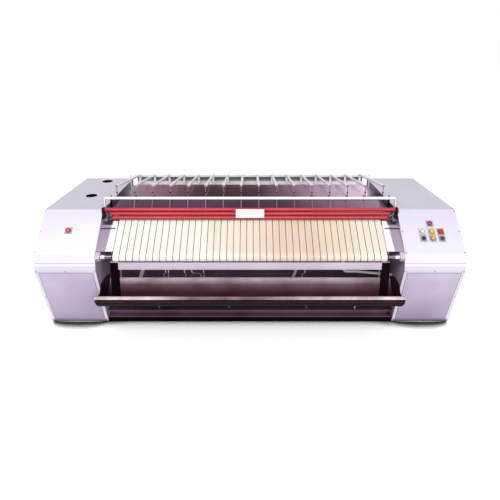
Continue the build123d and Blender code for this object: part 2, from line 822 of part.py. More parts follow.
# ---- Finger guard ----
pivot_y, pivot_z, pivot_gap = guard_tubes[0]
guard_end = inner_face - guard_tubes[2][2]
low_y, low_z, _ = guard_tubes[2]
guard_lean = math.degrees(math.atan2(pivot_y - low_y, pivot_z - low_z))
guard_face = Plane(
    origin=(0, (pivot_y + low_y) / 2, (pivot_z + low_z) / 2),
    x_dir=(1, 0, 0),
    z_dir=(0, low_z - pivot_z, pivot_y - low_y),
)
guard_span = math.hypot(pivot_y - low_y, pivot_z - low_z)
with BuildPart() as finger_guard:
    for y, z, gap in guard_tubes:
        rod((gap - inner_face, inner_face - gap), y, z, guard_tube_radius)
    for side in sides.values():
        with BuildSketch(Plane.YZ.offset(across(side, guard_end - guard_end_sheet, guard_end)[0])) as end:
            with Locations(((pivot_y + low_y) / 2, (pivot_z + low_z) / 2)):
                rim_width = 2 * (guard_tube_radius + guard_end_rim)
                SlotCenterToCenter(guard_span, rim_width, rotation=90 - guard_lean)
        extrude(end.sketch, amount=guard_end_sheet)
    for y, z, gap in guard_tubes[1:]:
        hollow = (gap - inner_face - cut_margin, inner_face - gap + cut_margin)
        rod(hollow, y, z, guard_tube_radius - guard_tube_wall, mode=Mode.SUBTRACT)
    plug_end = inner_face - pivot_gap
    plug_start = plug_end - guard_plug_length
    hollow = (-plug_start, plug_start)
    rod(hollow, pivot_y, pivot_z, guard_tube_radius - guard_tube_wall, mode=Mode.SUBTRACT)
    for side in sides.values():
        rod(across(side, plug_start, inner_face - weld_gap), pivot_y, pivot_z, guard_pin_radius)

with BuildPart() as guard_plate:
    with BuildSketch(guard_face.offset(guard_tube_radius)) as blank:
        Rectangle(guard_plate_width, guard_plate_height)
    extrude(blank.sketch, amount=guard_plate_sheet)

with BuildPart() as guard_brackets:
    for side in sides.values():
        ends = across(side, inner_face - pivot_gap + weld_gap, inner_face)
        half = bar_post_width / 2
        block(ends, (pivot_y - half, pivot_y + half), (bar_post_low + half, pivot_z + half))
        rod(ends, pivot_y, pivot_z, guard_pin_radius + guard_pin_clearance, mode=Mode.SUBTRACT)

# ---- Top bar and rear rack ----
with BuildPart() as top_bar:
    rod((-bar_half, bar_half), bar_y, bar_height, bar_radius)
    for side in sides.values():
        width = (bar_y - bar_post_width / 2, bar_y + bar_post_width / 2)
        ends = across(side, inner_face - post_sheet, inner_face)
        block(ends, width, (bar_post_low, bar_height + bar_radius))

rack_front = rack_y - rack_tube / 2
rack_back = rack_y + rack_tube / 2
with BuildPart() as rear_rack:
    block((-bar_half, bar_half), (rack_front, rack_back), (rack_height - rack_tube, rack_height))
    for side in sides.values():
        ends = across(side, inner_face - post_sheet, inner_face)
        width = (rack_y - bar_post_width / 2, rack_y + bar_post_width / 2)
        block(ends, width, (rack_post_low, rack_height + bar_radius))

strip_top = rack_height + bar_radius
strip_front = rack_front - rack_arm_thickness
arm_root = strip_front - weld_gap
arm_tip = bar_y + bar_radius + weld_gap
tip_top = strip_top + rack_arm_rise
with BuildPart() as rack_arms:
    for x in spread(inner_face - rack_arm_end_gap, rack_arm_pitch):
        width = (x - rack_arm_width / 2, x + rack_arm_width / 2)
        block(width, (strip_front, strip_front + rack_arm_thickness), (rack_strip_low, strip_top))
        plate(
            (
                (arm_root, strip_top),
                (arm_root, strip_top - rack_arm_depth),
                (arm_tip, tip_top - rack_arm_depth),
                (arm_tip, tip_top),
            ),
            width,
        )
        width = (x - hanger_width / 2, x + hanger_width / 2)
        hanger_top = tip_top - rack_arm_depth
        block(width, (arm_tip, arm_tip + hanger_width), (bar_height - bar_radius, hanger_top))
        width = (x - hanger_knob_width / 2, x + hanger_knob_width / 2)
        rod(width, arm_tip + hanger_width / 2, hanger_knob_height, hanger_knob_radius)

deflector_foot = rear_roll_y + chest_outer_radius - deflector_sheet
deflector_top = rack_back + deflector_sheet / 2
with BuildPart() as rear_deflector:
    with BuildSketch(Plane.YZ.offset(-chest_half)) as curve:
        with BuildLine():
            ThreePointArc(
                (deflector_foot, roll_height + deflector_sheet),
                (deflector_top + deflector_sheet, (roll_height + rack_height) / 2),
                (deflector_top, rack_height),
            )
        trace(line_width=deflector_sheet)
    extrude(curve.sketch, amount=2 * chest_half)

with BuildPart() as rear_cover:
    cover_x = (-inner_face, inner_face)
    cover_y = cabinet_back - panel_sheet
    block(cover_x, (cover_y, cabinet_back), (rear_cover_low, rear_cover_high))
    flange_z = (rear_cover_high - panel_sheet, rear_cover_high)
    block(cover_x, (cover_y - rear_cover_flange, cover_y), flange_z)

# ---- Catch trough ----
trough_half = inner_face - trough_end_sheet - weld_gap
trough_arc = ((trough_front, trough_rim), (trough_middle, trough_bottom), (trough_rear, trough_rim))
with BuildPart() as catch_trough:
    with BuildSketch(Plane.YZ.offset(-trough_half)) as bowl:
        with BuildLine():
            ThreePointArc(*trough_arc)
        trace(line_width=trough_sheet)
        with Locations((trough_front, (trough_rim + lip_top) / 2)):
            Rectangle(trough_sheet, lip_top - trough_rim)
        with Locations((trough_front + lip_width / 2 - trough_sheet / 2, lip_top - trough_sheet / 2)):
            Rectangle(lip_width, trough_sheet)
    extrude(bowl.sketch, amount=2 * trough_half)

cheek_edge = [(trough_rear, trough_rim), (trough_rear, trough_rim + cheek_rise)]
cheek_edge += [(trough_middle + reach, trough_rim + rise) for reach, rise in cheek_outline]
cheek_edge.append((trough_front, trough_rim))
with BuildPart() as trough_ends:
    for side in sides.values():
        ends = across(side, inner_face - trough_end_sheet, inner_face)
        with BuildSketch(Plane.YZ.offset(ends[0])) as cheek:
            with BuildLine():
                ThreePointArc(*trough_arc)
                Polyline(*cheek_edge)
            make_face()
        extrude(cheek.sketch, amount=trough_end_sheet)

# ---- Straps, struts, pipes and cables ----
strap_foot = (trough_rear, trough_rim + trough_sheet / 2)
strap_head = (rail_front + rail_flange, rail_low)
strap_lean = math.atan2(strap_head[1] - strap_foot[1], strap_foot[0] - strap_head[0])
strap_start = strap_head[0] - strap_sheet * math.sin(strap_lean)
strap_outline = (
    strap_head,
    strap_foot,
    (strap_foot[0] - strap_sheet / math.sin(strap_lean), strap_foot[1]),
    (strap_start, strap_head[1] - strap_sheet * math.cos(strap_lean)),
)
strut_y = beam_front + beam_depth / 2
strut_front = strut_y - strap_sheet / 2 - trough_middle
trough_outer_radius = trough_radius + trough_sheet / 2
strut_top = trough_centre_height - math.sqrt(trough_outer_radius**2 - strut_front**2) - weld_gap
with BuildPart() as trough_straps:
    plate(strap_outline, (-inner_face, inner_face))
    with BuildSketch(Plane.XY.offset(trough_bottom)) as runs:
        for head, foot, half in strap_lines:
            corners = (
                (head - half - rail_half, strap_start),
                (head + half - rail_half, strap_start),
                (foot + half - rail_half, strap_foot[0]),
                (foot - half - rail_half, strap_foot[0]),
            )
            Polygon(*corners, align=None)
    extrude(runs.sketch, amount=rail_high, mode=Mode.INTERSECT)
with BuildPart() as trough_struts:
    add(trough_straps)
    for x in strut_places:
        block(
            (x - strut_width / 2, x + strut_width / 2),
            (strut_y - strap_sheet / 2, strut_y + strap_sheet / 2),
            (beam_high, strut_top),
        )

pipe_x = inner_face - pipe_gap
hose_x = inner_face - hose_gap
with BuildPart() as steam_pipes:
    pipe(
        (
            (pipe_x, front_roll_y, roll_height - chest_outer_radius - weld_gap),
            (pipe_x, front_roll_y, pipe_level + pipe_fall),
            (pipe_x, pipe_front, pipe_level + pipe_fall),
            (pipe_x, pipe_front, pipe_level),
            (hose_x, pipe_front, pipe_level),
            (inner_face - trough_end_sheet - pipe_end_gap, pipe_front, pipe_level - pipe_sag),
        ),
        (pipe_bend, pipe_bend, pipe_bend, pipe_long_bend),
        condensate_diameter,
    )
    pipe(
        (
            (hose_x, strut_y, beam_high + weld_gap),
            (hose_x, strut_y, beam_high + hose_rise),
            (hose_x + hose_rise, strut_y, beam_high + hose_rise),
            (inner_face - pipe_end_gap, strut_y, beam_high + 2 * hose_rise),
        ),
        (hose_rise / 2, 2 * hose_rise),
        hose_diameter,
    )

cable_start = (rail_front + rail_flange - 2 * cable_diameter, rail_low - weld_gap)
cable_end = (trough_rear - cable_diameter, trough_rim + trough_sheet + weld_gap)
with BuildPart() as cable_runs:
    for gap, drift in cable_places:
        x = inner_face - gap
        pipe(
            (
                (x, *cable_start),
                (x, cable_start[0], cable_start[1] - cable_drop),
                (x + drift, cable_end[0], cable_end[1] + cable_drop),
                (x + drift, *cable_end),
            ),
            (cable_bend, cable_bend),
            cable_diameter,
        )

# ---- Exhaust collars ----
with BuildPart() as exhaust_collars:
    for gap, y in port_places:
        with BuildSketch(Plane.XY.offset(cabinet_top - port_depth)) as duct:
            with Locations((-inner_face - gap, y)):
                Circle(port_radius)
                Circle(port_radius - port_wall, mode=Mode.SUBTRACT)
        extrude(duct.sketch, amount=port_depth)
        with BuildSketch(Plane.XY.offset(cabinet_top)) as flange:
            with Locations((-inner_face - gap, y)):
                Circle(port_radius + port_flange)
                Circle(port_radius - port_wall, mode=Mode.SUBTRACT)
        extrude(flange.sketch, amount=panel_sheet)

# ---- Panel screws ----
lower_run = math.hypot(band_low[0] - toe[0], band_low[1] - toe[1])
lower_plane = Plane(
    origin=(0, *toe), x_dir=(1, 0, 0), z_dir=(0, toe[1] - band_low[1], band_low[0] - toe[0])
)
screw_x = (inner_face + screw_inset, inner_face + cabinet_width / 2, half_width - screw_inset)
with BuildPart() as panel_screws:
    for side in sides.values():
        ends = (2 * screw_inset, lower_run - screw_inset)
        lower_places = [(side * x, along) for x in screw_x for along in ends]
        lower_places += [(side * x, lower_run / 2) for x in screw_x[::2]]
        slope_places = [(side * x, -gap) for x in screw_x[::2] for gap in screw_slope_gaps]
        top_places = [(side * x, brow[0] + gap) for x in screw_x[::2] for gap in screw_top_gaps]
        faces = (
            (lower_plane, lower_places),
            (console, slope_places),
            (Plane.XY.offset(cabinet_top), top_places),
        )
        for plane, places in faces:
            with BuildSketch(plane) as heads:
                with Locations(*places):
                    Circle(screw_radius)
            extrude(heads.sketch, amount=screw_height, taper=screw_taper)

# ---- Hand over every sub-part ----
sub_parts = {
    **shell,
    **buttons,
    "left_side_frame": side_frame(sides["left"]),
    "right_side_frame": side_frame(sides["right"]),
    "outer_panels": outer_panels,
    "lower_front_panels": lower_front_panels,
    "rear_panels": rear_panels,
    "button_bezels": button_bezels,
    "base_frames": base_frames,
    "levelling_feet": levelling_feet,
    "cross_beams": cross_beams,
    "front_chest": front_chest,
    "rear_chest": rear_chest,
    "chest_supports": chest_supports,
    "bridge_plate": bridge_plate,
    "front_roll_core": front_roll_core,
    "rear_roll_core": rear_roll_core,
    "front_roll_padding": front_roll_padding,
    "rear_roll_padding": rear_roll_padding,
    "front_roll_sprocket": front_roll_sprocket,
    "rear_roll_sprocket": rear_roll_sprocket,
    "drive_sprocket": drive_sprocket,
    "roll_bearings": roll_bearings,
    "gear_motor": gear_motor,
    "drive_chain": drive_chain,
    "guide_tapes": guide_tapes,
    "tape_rod": tape_rod,
    "front_feed_roller": front_feed_roller,
    "rear_feed_roller": rear_feed_roller,
    "feed_gear_motor": feed_gear_motor,
    "feed_belts": feed_belts,
    "feed_bed": feed_bed,
    "apron_plates": apron_plates,
    "front_rail": front_rail,
    "feed_brackets": feed_brackets,
    "finger_guard": finger_guard,
    "guard_plate": guard_plate,
    "guard_brackets": guard_brackets,
    "top_bar": top_bar,
    "rear_rack": rear_rack,
    "rack_arms": rack_arms,
    "rear_deflector": rear_deflector,
    "rear_cover": rear_cover,
    "catch_trough": catch_trough,
    "trough_ends": trough_ends,
    "trough_struts": trough_struts,
    "steam_pipes": steam_pipes,
    "cable_runs": cable_runs,
    "exhaust_collars": exhaust_collars,
    "panel_screws": panel_screws,
}
os.makedirs("parts", exist_ok=True)
for name, made in sub_parts.items():
    made.part.label = name
    export_step(made.part, f"parts/{name}.step")
print(len(sub_parts), "sub-parts")
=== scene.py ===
# %% [markdown]
# # A flatwork ironer, dressed for the camera
#
# The solid model of the machine is loaded first. It fixes every size and every place, so each
# finished piece is modelled where the solids say. A solid whose shape is already right keeps its
# mesh and only gets a finish. Cloth, turned parts and thin sheet get a new mesh.

# %% Load the solid model
from math import acos, atan2, cos, dist, hypot, pi, radians, sin

import bpy
from mathutils import Matrix, Vector


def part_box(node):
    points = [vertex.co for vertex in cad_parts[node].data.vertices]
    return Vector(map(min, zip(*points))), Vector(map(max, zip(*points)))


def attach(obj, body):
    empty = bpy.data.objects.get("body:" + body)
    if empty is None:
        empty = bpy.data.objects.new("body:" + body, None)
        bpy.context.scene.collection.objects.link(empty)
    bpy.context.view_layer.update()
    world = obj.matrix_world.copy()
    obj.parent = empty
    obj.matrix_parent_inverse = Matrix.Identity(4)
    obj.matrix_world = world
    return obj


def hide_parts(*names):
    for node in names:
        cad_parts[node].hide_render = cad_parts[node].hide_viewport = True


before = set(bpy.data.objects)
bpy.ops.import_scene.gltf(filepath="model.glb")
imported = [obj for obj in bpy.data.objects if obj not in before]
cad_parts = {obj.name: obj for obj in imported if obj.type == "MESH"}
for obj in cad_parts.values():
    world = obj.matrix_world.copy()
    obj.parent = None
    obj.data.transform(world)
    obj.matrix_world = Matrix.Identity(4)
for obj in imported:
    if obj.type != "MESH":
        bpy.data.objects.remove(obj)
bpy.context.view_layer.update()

# %% [markdown]
# ## Helpers
#
# A new primitive comes in fully selected, and an operator works on all that is selected. So each
# helper first deselects everything, then adds its primitive and shapes it in edit mode. At the end
# the place goes into the mesh, so that every piece's own object sits at the origin.

# %% Helpers for selecting and finishing
UP = Vector((0, 0, 1))
FOLD_ANGLE, SMOOTH_ANGLE = 0.6, 0.7
MERGE_REACH, FLAT_ANGLE = 0.00002, 0.02


def deselect():
    """Leaves edit mode and selects nothing."""
    if bpy.context.object and bpy.context.object.mode != "OBJECT":
        bpy.ops.object.mode_set(mode="OBJECT")
    bpy.ops.object.select_all(action="DESELECT")


def only(piece):
    """Makes one piece the selected and active one."""
    deselect()
    piece.select_set(True)
    bpy.context.view_layer.objects.active = piece
    return piece


def settle(piece):
    """Moves the piece's place, turn and size into its mesh."""
    only(piece)
    bpy.ops.object.transform_apply(location=True, rotation=True, scale=True)
    return piece


def joined(pieces):
    """One piece made of several."""
    only(pieces[0])
    for piece in pieces:
        piece.select_set(True)
    if len(pieces) > 1:
        bpy.ops.object.join()
    return bpy.context.object


def modified(piece, kind, **settings):
    """Adds a modifier and applies it."""
    only(piece)
    modifier = piece.modifiers.new(kind.lower(), kind)
    for key, value in settings.items():
        setattr(modifier, key, value)
    bpy.ops.object.modifier_apply(modifier=modifier.name)
    return piece


def smoothed(piece, angle):
    """Shades a piece smooth, apart from its folds sharper than an angle."""
    only(piece)
    bpy.ops.object.shade_smooth_by_angle(angle=angle)
    return piece


def softened(piece, width, segments=2):
    """Rounds the sharp edges, as paint and handling do, and shades the piece smooth."""
    modified(piece, "BEVEL", width=width, segments=segments, limit_method="ANGLE",
             angle_limit=FOLD_ANGLE)
    return smoothed(piece, SMOOTH_ANGLE)


def dressed(piece, name, body, material, slot, *nodes):
    """Gives a piece its name, finish and body, and says which solids it stands for."""
    piece.name = name
    piece.data.name = name
    piece.data.materials.clear()
    piece.data.materials.append(material)
    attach(piece, body)
    if nodes:
        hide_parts(*nodes)
    print(name, len(piece.data.polygons), "faces")
    return piece


def also(piece, *materials):
    """Gives a dressed piece more finishes, for some of its faces."""
    for material in materials:
        piece.data.materials.append(material)


# %% Helpers for blocks and turned pieces
def block(low, high):
    """A box between two corners, as the start of a sheet-metal piece."""
    low, high = Vector(low), Vector(high)
    deselect()
    bpy.ops.mesh.primitive_cube_add(size=1, location=(low + high) / 2, scale=high - low)
    return settle(bpy.context.object)


def turned(start, direction, profile, sides, closed=True):
    """A piece turned about an axis: rings of (distance along, radius), extruded one by one."""
    deselect()
    along, radius = profile[0]
    bpy.ops.mesh.primitive_circle_add(vertices=sides, radius=radius, location=(0, 0, along))
    piece = bpy.context.object
    settle(piece)
    bpy.ops.object.mode_set(mode="EDIT")
    bpy.ops.mesh.select_all(action="SELECT")
    if closed:
        bpy.ops.mesh.edge_face_add()
        bpy.ops.mesh.select_all(action="SELECT")
    for reach, wide in profile[1:]:
        bpy.ops.mesh.extrude_region_move(TRANSFORM_OT_translate={"value": (0, 0, reach - along)})
        scale = wide / radius
        bpy.ops.transform.resize(value=(scale, scale, 1), center_override=(0, 0, reach))
        along, radius = reach, wide
    bpy.ops.mesh.select_all(action="SELECT")
    if closed:
        bpy.ops.mesh.normals_make_consistent(inside=False)
    bpy.ops.object.mode_set(mode="OBJECT")
    turn = UP.rotation_difference(Vector(direction).normalized())
    piece.matrix_world = Matrix.Translation(start) @ turn.to_matrix().to_4x4()
    return smoothed(settle(piece), FOLD_ANGLE)


def cast(node, bevel=0.0):
    """A copy of a solid, its loose triangles merged, so that its edges can be eased."""
    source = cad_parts[node]
    twin = source.copy()
    twin.data = source.data.copy()
    for key in [key for key in twin.keys() if key.startswith("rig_")]:
        del twin[key]
    twin.parent = None
    twin.matrix_world = Matrix.Identity(4)
    bpy.context.collection.objects.link(twin)
    only(twin)
    bpy.ops.object.mode_set(mode="EDIT")
    bpy.ops.mesh.select_all(action="SELECT")
    bpy.ops.mesh.remove_doubles(threshold=MERGE_REACH)
    bpy.ops.mesh.dissolve_limited(angle_limit=FLAT_ANGLE)
    bpy.ops.object.mode_set(mode="OBJECT")
    if bevel:
        modified(twin, "BEVEL", width=bevel, segments=2, limit_method="ANGLE",
                 angle_limit=FOLD_ANGLE)
    return smoothed(twin, FOLD_ANGLE)

# %% [markdown]
# ## The camera and the light
#
# The photograph looks down on the machine from just in front of it, with the view's middle moved
# down. A camera with that lens, tilt and shift shows the same frame. The light is a plain bright
# studio: a broad soft key from the front and above, a weaker fill, and an even pale world. Suns
# with a wide angle light a machine four metres long evenly.

# %% Camera
PHOTO_SIZE, FOCAL_PIXELS, CENTRE_ROW, SENSOR = 500, 450, 157, 36
CAMERA_PLACE, CAMERA_TILT, FAR_CLIP = (0, -4.774, 2.750), 77.5, 200
camera_data = bpy.data.cameras.new("photo_camera")
camera_data.sensor_width = SENSOR
camera_data.lens = FOCAL_PIXELS / PHOTO_SIZE * SENSOR
camera_data.shift_y = (CENTRE_ROW - PHOTO_SIZE / 2) / PHOTO_SIZE
camera_data.clip_end = FAR_CLIP
camera = bpy.data.objects.new("photo_camera", camera_data)
camera.location = CAMERA_PLACE
camera.rotation_euler = (radians(CAMERA_TILT), 0, 0)
bpy.context.collection.objects.link(camera)
bpy.context.scene.camera = camera
bpy.context.scene.view_settings.view_transform = "Standard"
print("camera at", tuple(camera.location))

# %% Lamps
LAMP_PLACE = (0, 0, 8)


def soft_sun(name, towards, strength, spread_angle):
    """A distant soft white lamp that shines in a direction."""
    data = bpy.data.lights.new(name, "SUN")
    data.energy = strength
    data.angle = radians(spread_angle)
    made = bpy.data.objects.new(name, data)
    made.location = LAMP_PLACE
    made.rotation_euler = Vector(towards).to_track_quat("-Z", "Y").to_euler()
    bpy.context.collection.objects.link(made)


soft_sun("key_sun", (0.25, 0.62, -0.74), 1.84, 35)
soft_sun("fill_sun", (-0.45, 0.80, -0.40), 1.50, 50)
print("two suns")

# %% [markdown]
# ## The floor and the white surround
#
# The photograph stands the machine on pure white, with only a dark line of shadow under it. The
# world looks white to the camera but lights the machine at its own, lower level. The floor is a
# plain matt white to the camera and a little darker to other rays, so that it doesn't flood the
# machine with light from below. It keeps the machine's shadow, and it darkens towards the machine's
# foot, where little light gets in.

# %% World and floor
WORLD_TINT, WORLD_STRENGTH, FLOOR_SIZE = (0.96, 0.94, 1.0, 1), 0.36, 160
FLOOR_TONES = (("usual", 0.62), ("seen", 1.0))
SHADOW_REACH, SHADOW_SAMPLES, SHADOW_STOPS = 0.30, 16, ((0.445, 0.02), (0.66, 1.24))


def put(node, socket, value):
    """Sets one input of a shader node."""
    node.inputs[socket].default_value = value


def by_ray(tree, kinds, usual, seen, out):
    """Uses one shader for the kinds of ray named and another for the rest."""
    path = tree.nodes.new("ShaderNodeLightPath")
    either = tree.nodes.new("ShaderNodeMath")
    either.operation = "MAXIMUM"
    for index, kind in enumerate(kinds):
        tree.links.new(path.outputs[kind], either.inputs[index])
    choice = tree.nodes.new("ShaderNodeMixShader")
    tree.links.new(either.outputs[0], choice.inputs[0])
    tree.links.new(usual, choice.inputs[1])
    tree.links.new(seen, choice.inputs[2])
    tree.links.new(choice.outputs[0], out)


world = bpy.data.worlds.new("studio_world")
bpy.context.scene.world = world
world.use_nodes = True
tree = world.node_tree
tree.nodes.clear()
lights = tree.nodes.new("ShaderNodeBackground")
put(lights, "Color", WORLD_TINT)
put(lights, "Strength", WORLD_STRENGTH)
shows = tree.nodes.new("ShaderNodeBackground")
put(shows, "Color", (1, 1, 1, 1))
out = tree.nodes.new("ShaderNodeOutputWorld")
by_ray(tree, ("Is Camera Ray", "Is Transmission Ray"), lights.outputs[0], shows.outputs[0],
       out.inputs[0])

deselect()
bpy.ops.mesh.primitive_plane_add(size=FLOOR_SIZE, location=(0, 0, 0))
floor = settle(bpy.context.object)
floor.name = "studio_floor"
floor_finish = bpy.data.materials.new("studio_floor")
floor_finish.use_nodes = True
tree = floor_finish.node_tree
tree.nodes.remove(tree.nodes["Principled BSDF"])
matt = {}
for name, tone in FLOOR_TONES:
    matt[name] = tree.nodes.new("ShaderNodeBsdfDiffuse")
    put(matt[name], "Color", (tone, tone, tone, 1))
closed_in = tree.nodes.new("ShaderNodeAmbientOcclusion")
put(closed_in, "Distance", SHADOW_REACH)
closed_in.samples = SHADOW_SAMPLES
foot_shadow = tree.nodes.new("ShaderNodeValToRGB")
for element, (place, tone) in zip(foot_shadow.color_ramp.elements, SHADOW_STOPS):
    element.position = place
    element.color = (tone, tone, tone, 1)
tree.links.new(closed_in.outputs["AO"], foot_shadow.inputs["Fac"])
tree.links.new(foot_shadow.outputs["Color"], matt["seen"].inputs["Color"])
by_ray(tree, ("Is Camera Ray", "Is Glossy Ray"), matt["usual"].outputs[0],
       matt["seen"].outputs[0], tree.nodes["Material Output"].inputs[0])
floor.data.materials.append(floor_finish)
print("floor and world ready")

# %% [markdown]
# ## Finishes
#
# Every finish is a small network. A slow noise varies the tone, as hand-sprayed paint and use do.
# A fine noise gives the surface its grain through a bump. All patterns read Object coordinates,
# which are real metres here, because every object sits at the origin.

# %% Paint, metal and plastic
DARK_PLACE, LIGHT_PLACE, ROUGH_SPREAD, LEAST_ROUGH, BUMP = 0.35, 0.65, 0.08, 0.05, 0.5
SLOW_DETAIL, FINE_DETAIL, SPOT_SCALE, SPOT_DETAIL, SPOT_FROM, SPOT_TO = 6, 3, 90, 8, 0.55, 0.75


def finish(name, light, dark, rough, metal=0.0, patch=2.0, stretch=(1, 1, 1), grain=350.0,
           depth=0.0002, coat=0.0, speck=0.0, shine=0.5):
    """A finish whose tone drifts between two colours, with a fine grain in its surface."""
    material = bpy.data.materials.new(name)
    material.use_nodes = True
    tree = material.node_tree
    new, link = tree.nodes.new, tree.links.new
    shader = tree.nodes["Principled BSDF"]
    put(shader, "Metallic", metal)
    put(shader, "Coat Weight", coat)
    put(shader, "Specular IOR Level", shine)
    where = new("ShaderNodeTexCoord")
    stretched = new("ShaderNodeMapping")
    put(stretched, "Scale", stretch)
    link(where.outputs["Object"], stretched.inputs["Vector"])
    slow = new("ShaderNodeTexNoise")
    put(slow, "Scale", patch)
    put(slow, "Detail", SLOW_DETAIL)
    link(stretched.outputs[0], slow.inputs["Vector"])
    tones = new("ShaderNodeValToRGB")
    for element, place, tone in zip(tones.color_ramp.elements, (DARK_PLACE, LIGHT_PLACE),
                                    (dark, light)):
        element.position = place
        element.color = (*tone, 1)
    link(slow.outputs["Fac"], tones.inputs["Fac"])
    link(tones.outputs["Color"], shader.inputs["Base Color"])
    fine = new("ShaderNodeTexNoise")
    put(fine, "Scale", grain)
    put(fine, "Detail", FINE_DETAIL)
    link(stretched.outputs[0], fine.inputs["Vector"])
    worn = new("ShaderNodeMapRange")
    put(worn, "To Min", max(rough - ROUGH_SPREAD, LEAST_ROUGH))
    put(worn, "To Max", min(rough + ROUGH_SPREAD, 1.0))
    link(slow.outputs["Fac"], worn.inputs["Value"])
    link(worn.outputs["Result"], shader.inputs["Roughness"])
    bump = new("ShaderNodeBump")
    put(bump, "Strength", BUMP)
    put(bump, "Distance", depth)
    link(fine.outputs["Fac"], bump.inputs["Height"])
    link(bump.outputs["Normal"], shader.inputs["Normal"])
    if speck:
        dust = new("ShaderNodeMix")
        dust.data_type = "RGBA"
        put(dust, "B", (*dark, 1))
        spots = new("ShaderNodeTexNoise")
        put(spots, "Scale", SPOT_SCALE)
        put(spots, "Detail", SPOT_DETAIL)
        link(stretched.outputs[0], spots.inputs["Vector"])
        cut = new("ShaderNodeMapRange")
        put(cut, "From Min", SPOT_FROM)
        put(cut, "From Max", SPOT_TO)
        put(cut, "To Max", speck)
        link(spots.outputs["Fac"], cut.inputs["Value"])
        link(cut.outputs["Result"], dust.inputs["Factor"])
        link(tones.outputs["Color"], dust.inputs["A"])
        link(dust.outputs["Result"], shader.inputs["Base Color"])
    return material


def graded(material, axis, stops):
    """Multiplies a finish's colour by tones at places along an axis, in metres."""
    tree = material.node_tree
    new, link = tree.nodes.new, tree.links.new
    shader = tree.nodes["Principled BSDF"]
    where = new("ShaderNodeTexCoord")
    parts = new("ShaderNodeSeparateXYZ")
    link(where.outputs["Object"], parts.inputs[0])
    reach = new("ShaderNodeMapRange")
    low, high = stops[0][0], stops[-1][0]
    put(reach, "From Min", low)
    put(reach, "From Max", high)
    link(parts.outputs[axis], reach.inputs["Value"])
    tones = new("ShaderNodeValToRGB")
    elements = tones.color_ramp.elements
    while len(elements) < len(stops):
        elements.new(0.5)
    for element, (place, tone) in zip(elements, stops):
        element.position = (place - low) / (high - low)
        element.color = (*tone, 1)
    link(reach.outputs["Result"], tones.inputs["Fac"])
    tint = new("ShaderNodeMix")
    tint.data_type = "RGBA"
    tint.blend_type = "MULTIPLY"
    put(tint, "Factor", 1.0)
    link(shader.inputs["Base Color"].links[0].from_socket, tint.inputs["A"])
    link(tones.outputs["Color"], tint.inputs["B"])
    link(tint.outputs["Result"], shader.inputs["Base Color"])
    return material


cabinet_paint = finish("cabinet_paint", (0.80, 0.77, 0.87), (0.77, 0.74, 0.84), 0.38, coat=0.15)
# Painted light and shade: the cabinet paint is full bright on the upright band above the seam,
# darker on the sloping console, most of all towards its top, and a little darker on the top sheets.
graded(cabinet_paint, "Z", [(0.780, (1, 1, 1)), (0.880, (1, 1, 1)), (0.895, (0.88, 0.87, 0.90)),
                            (1.100, (0.84, 0.82, 0.86)), (1.222, (0.80, 0.77, 0.84)),
                            (1.226, (0.93, 0.90, 0.92)), (1.24, (0.93, 0.90, 0.92))])
border_paint = finish("panel_border_paint", (0.80, 0.76, 0.87), (0.75, 0.71, 0.82), 0.38)
# Painted highlight: the lower panels' top flange is painted full bright above 0.768 m and a little
# darker below.
flange_paint = graded(finish("panel_flange_paint", (0.84, 0.80, 0.90), (0.80, 0.76, 0.87), 0.38),
                      "Z", [(0.72, (0.80, 0.76, 0.84)), (0.764, (0.84, 0.80, 0.88)),
                            (0.768, (1, 1, 1)), (0.80, (1, 1, 1))])
# Painted shade: the step faces round each tray field are painted dark, as the shade in that groove.
groove_paint = finish("panel_groove_paint", (0.26, 0.20, 0.30), (0.20, 0.15, 0.23), 0.6)
# Painted shade: the lower panels, which face down, are painted in a darker, more purple copy of the
# cabinet paint, and darker still towards the floor.
lower_paint = finish("lower_panel_paint", (0.70, 0.63, 0.79), (0.58, 0.50, 0.68), 0.42)
graded(lower_paint, "Z", [(0.014, (0.58, 0.58, 0.60)), (0.090, (0.62, 0.61, 0.63)),
                          (0.375, (0.78, 0.75, 0.77)), (0.660, (1, 1, 1)), (0.800, (1, 1, 1))])
side_paint = finish("side_frame_paint", (0.82, 0.75, 0.86), (0.64, 0.56, 0.68), 0.5, patch=3)
# Painted light and shade: the side frames are painted bright in a band from 0.9 to 1.08 m, dim
# below it and nearly black above 1.145 m.
graded(side_paint, "Z", [(0.014, (0.42, 0.36, 0.42)), (0.800, (0.45, 0.40, 0.46)),
                         (0.900, (0.90, 0.88, 0.92)), (1.080, (1, 1, 1)),
                         (1.125, (0.55, 0.48, 0.55)), (1.145, (0.10, 0.06, 0.10)),
                         (1.230, (0.10, 0.06, 0.10))])
frame_paint = finish("frame_paint", (0.09, 0.05, 0.085), (0.035, 0.015, 0.032), 0.45, patch=4)
bed_black, bed_edge, bed_margin = (0.11, 0.07, 0.10), (0.95, 0.93, 0.94), (0.42, 0.36, 0.44)
bed_paint = graded(finish("bed_paint", (0.84, 0.80, 0.84), (0.74, 0.69, 0.74), 0.45), "X",
                   [(-1.505, bed_margin), (-1.404, bed_margin), (-1.400, bed_edge),
                    (-1.334, bed_edge), (-1.331, bed_black), (1.331, bed_black),
                    (1.334, bed_edge), (1.400, bed_edge), (1.404, bed_margin),
                    (1.505, bed_margin)])
beam_paint = finish("beam_paint", (0.155, 0.075, 0.125), (0.10, 0.04, 0.08), 0.4, patch=3)
pan_paint = finish("drip_pan_paint", (1.0, 0.70, 1.0), (0.72, 0.42, 0.72), 0.5, patch=2)
# Painted light: the drip pan is painted lighter towards the back and dimmer towards the front.
graded(pan_paint, "Y", [(-0.385, (0.42, 0.37, 0.42)), (0.0, (0.42, 0.37, 0.42)),
                        (0.3, (1, 1, 1)), (0.7, (1, 1, 1))])
bearing_paint = finish("bearing_paint", (0.56, 0.49, 0.62), (0.40, 0.33, 0.45), 0.4, patch=9)
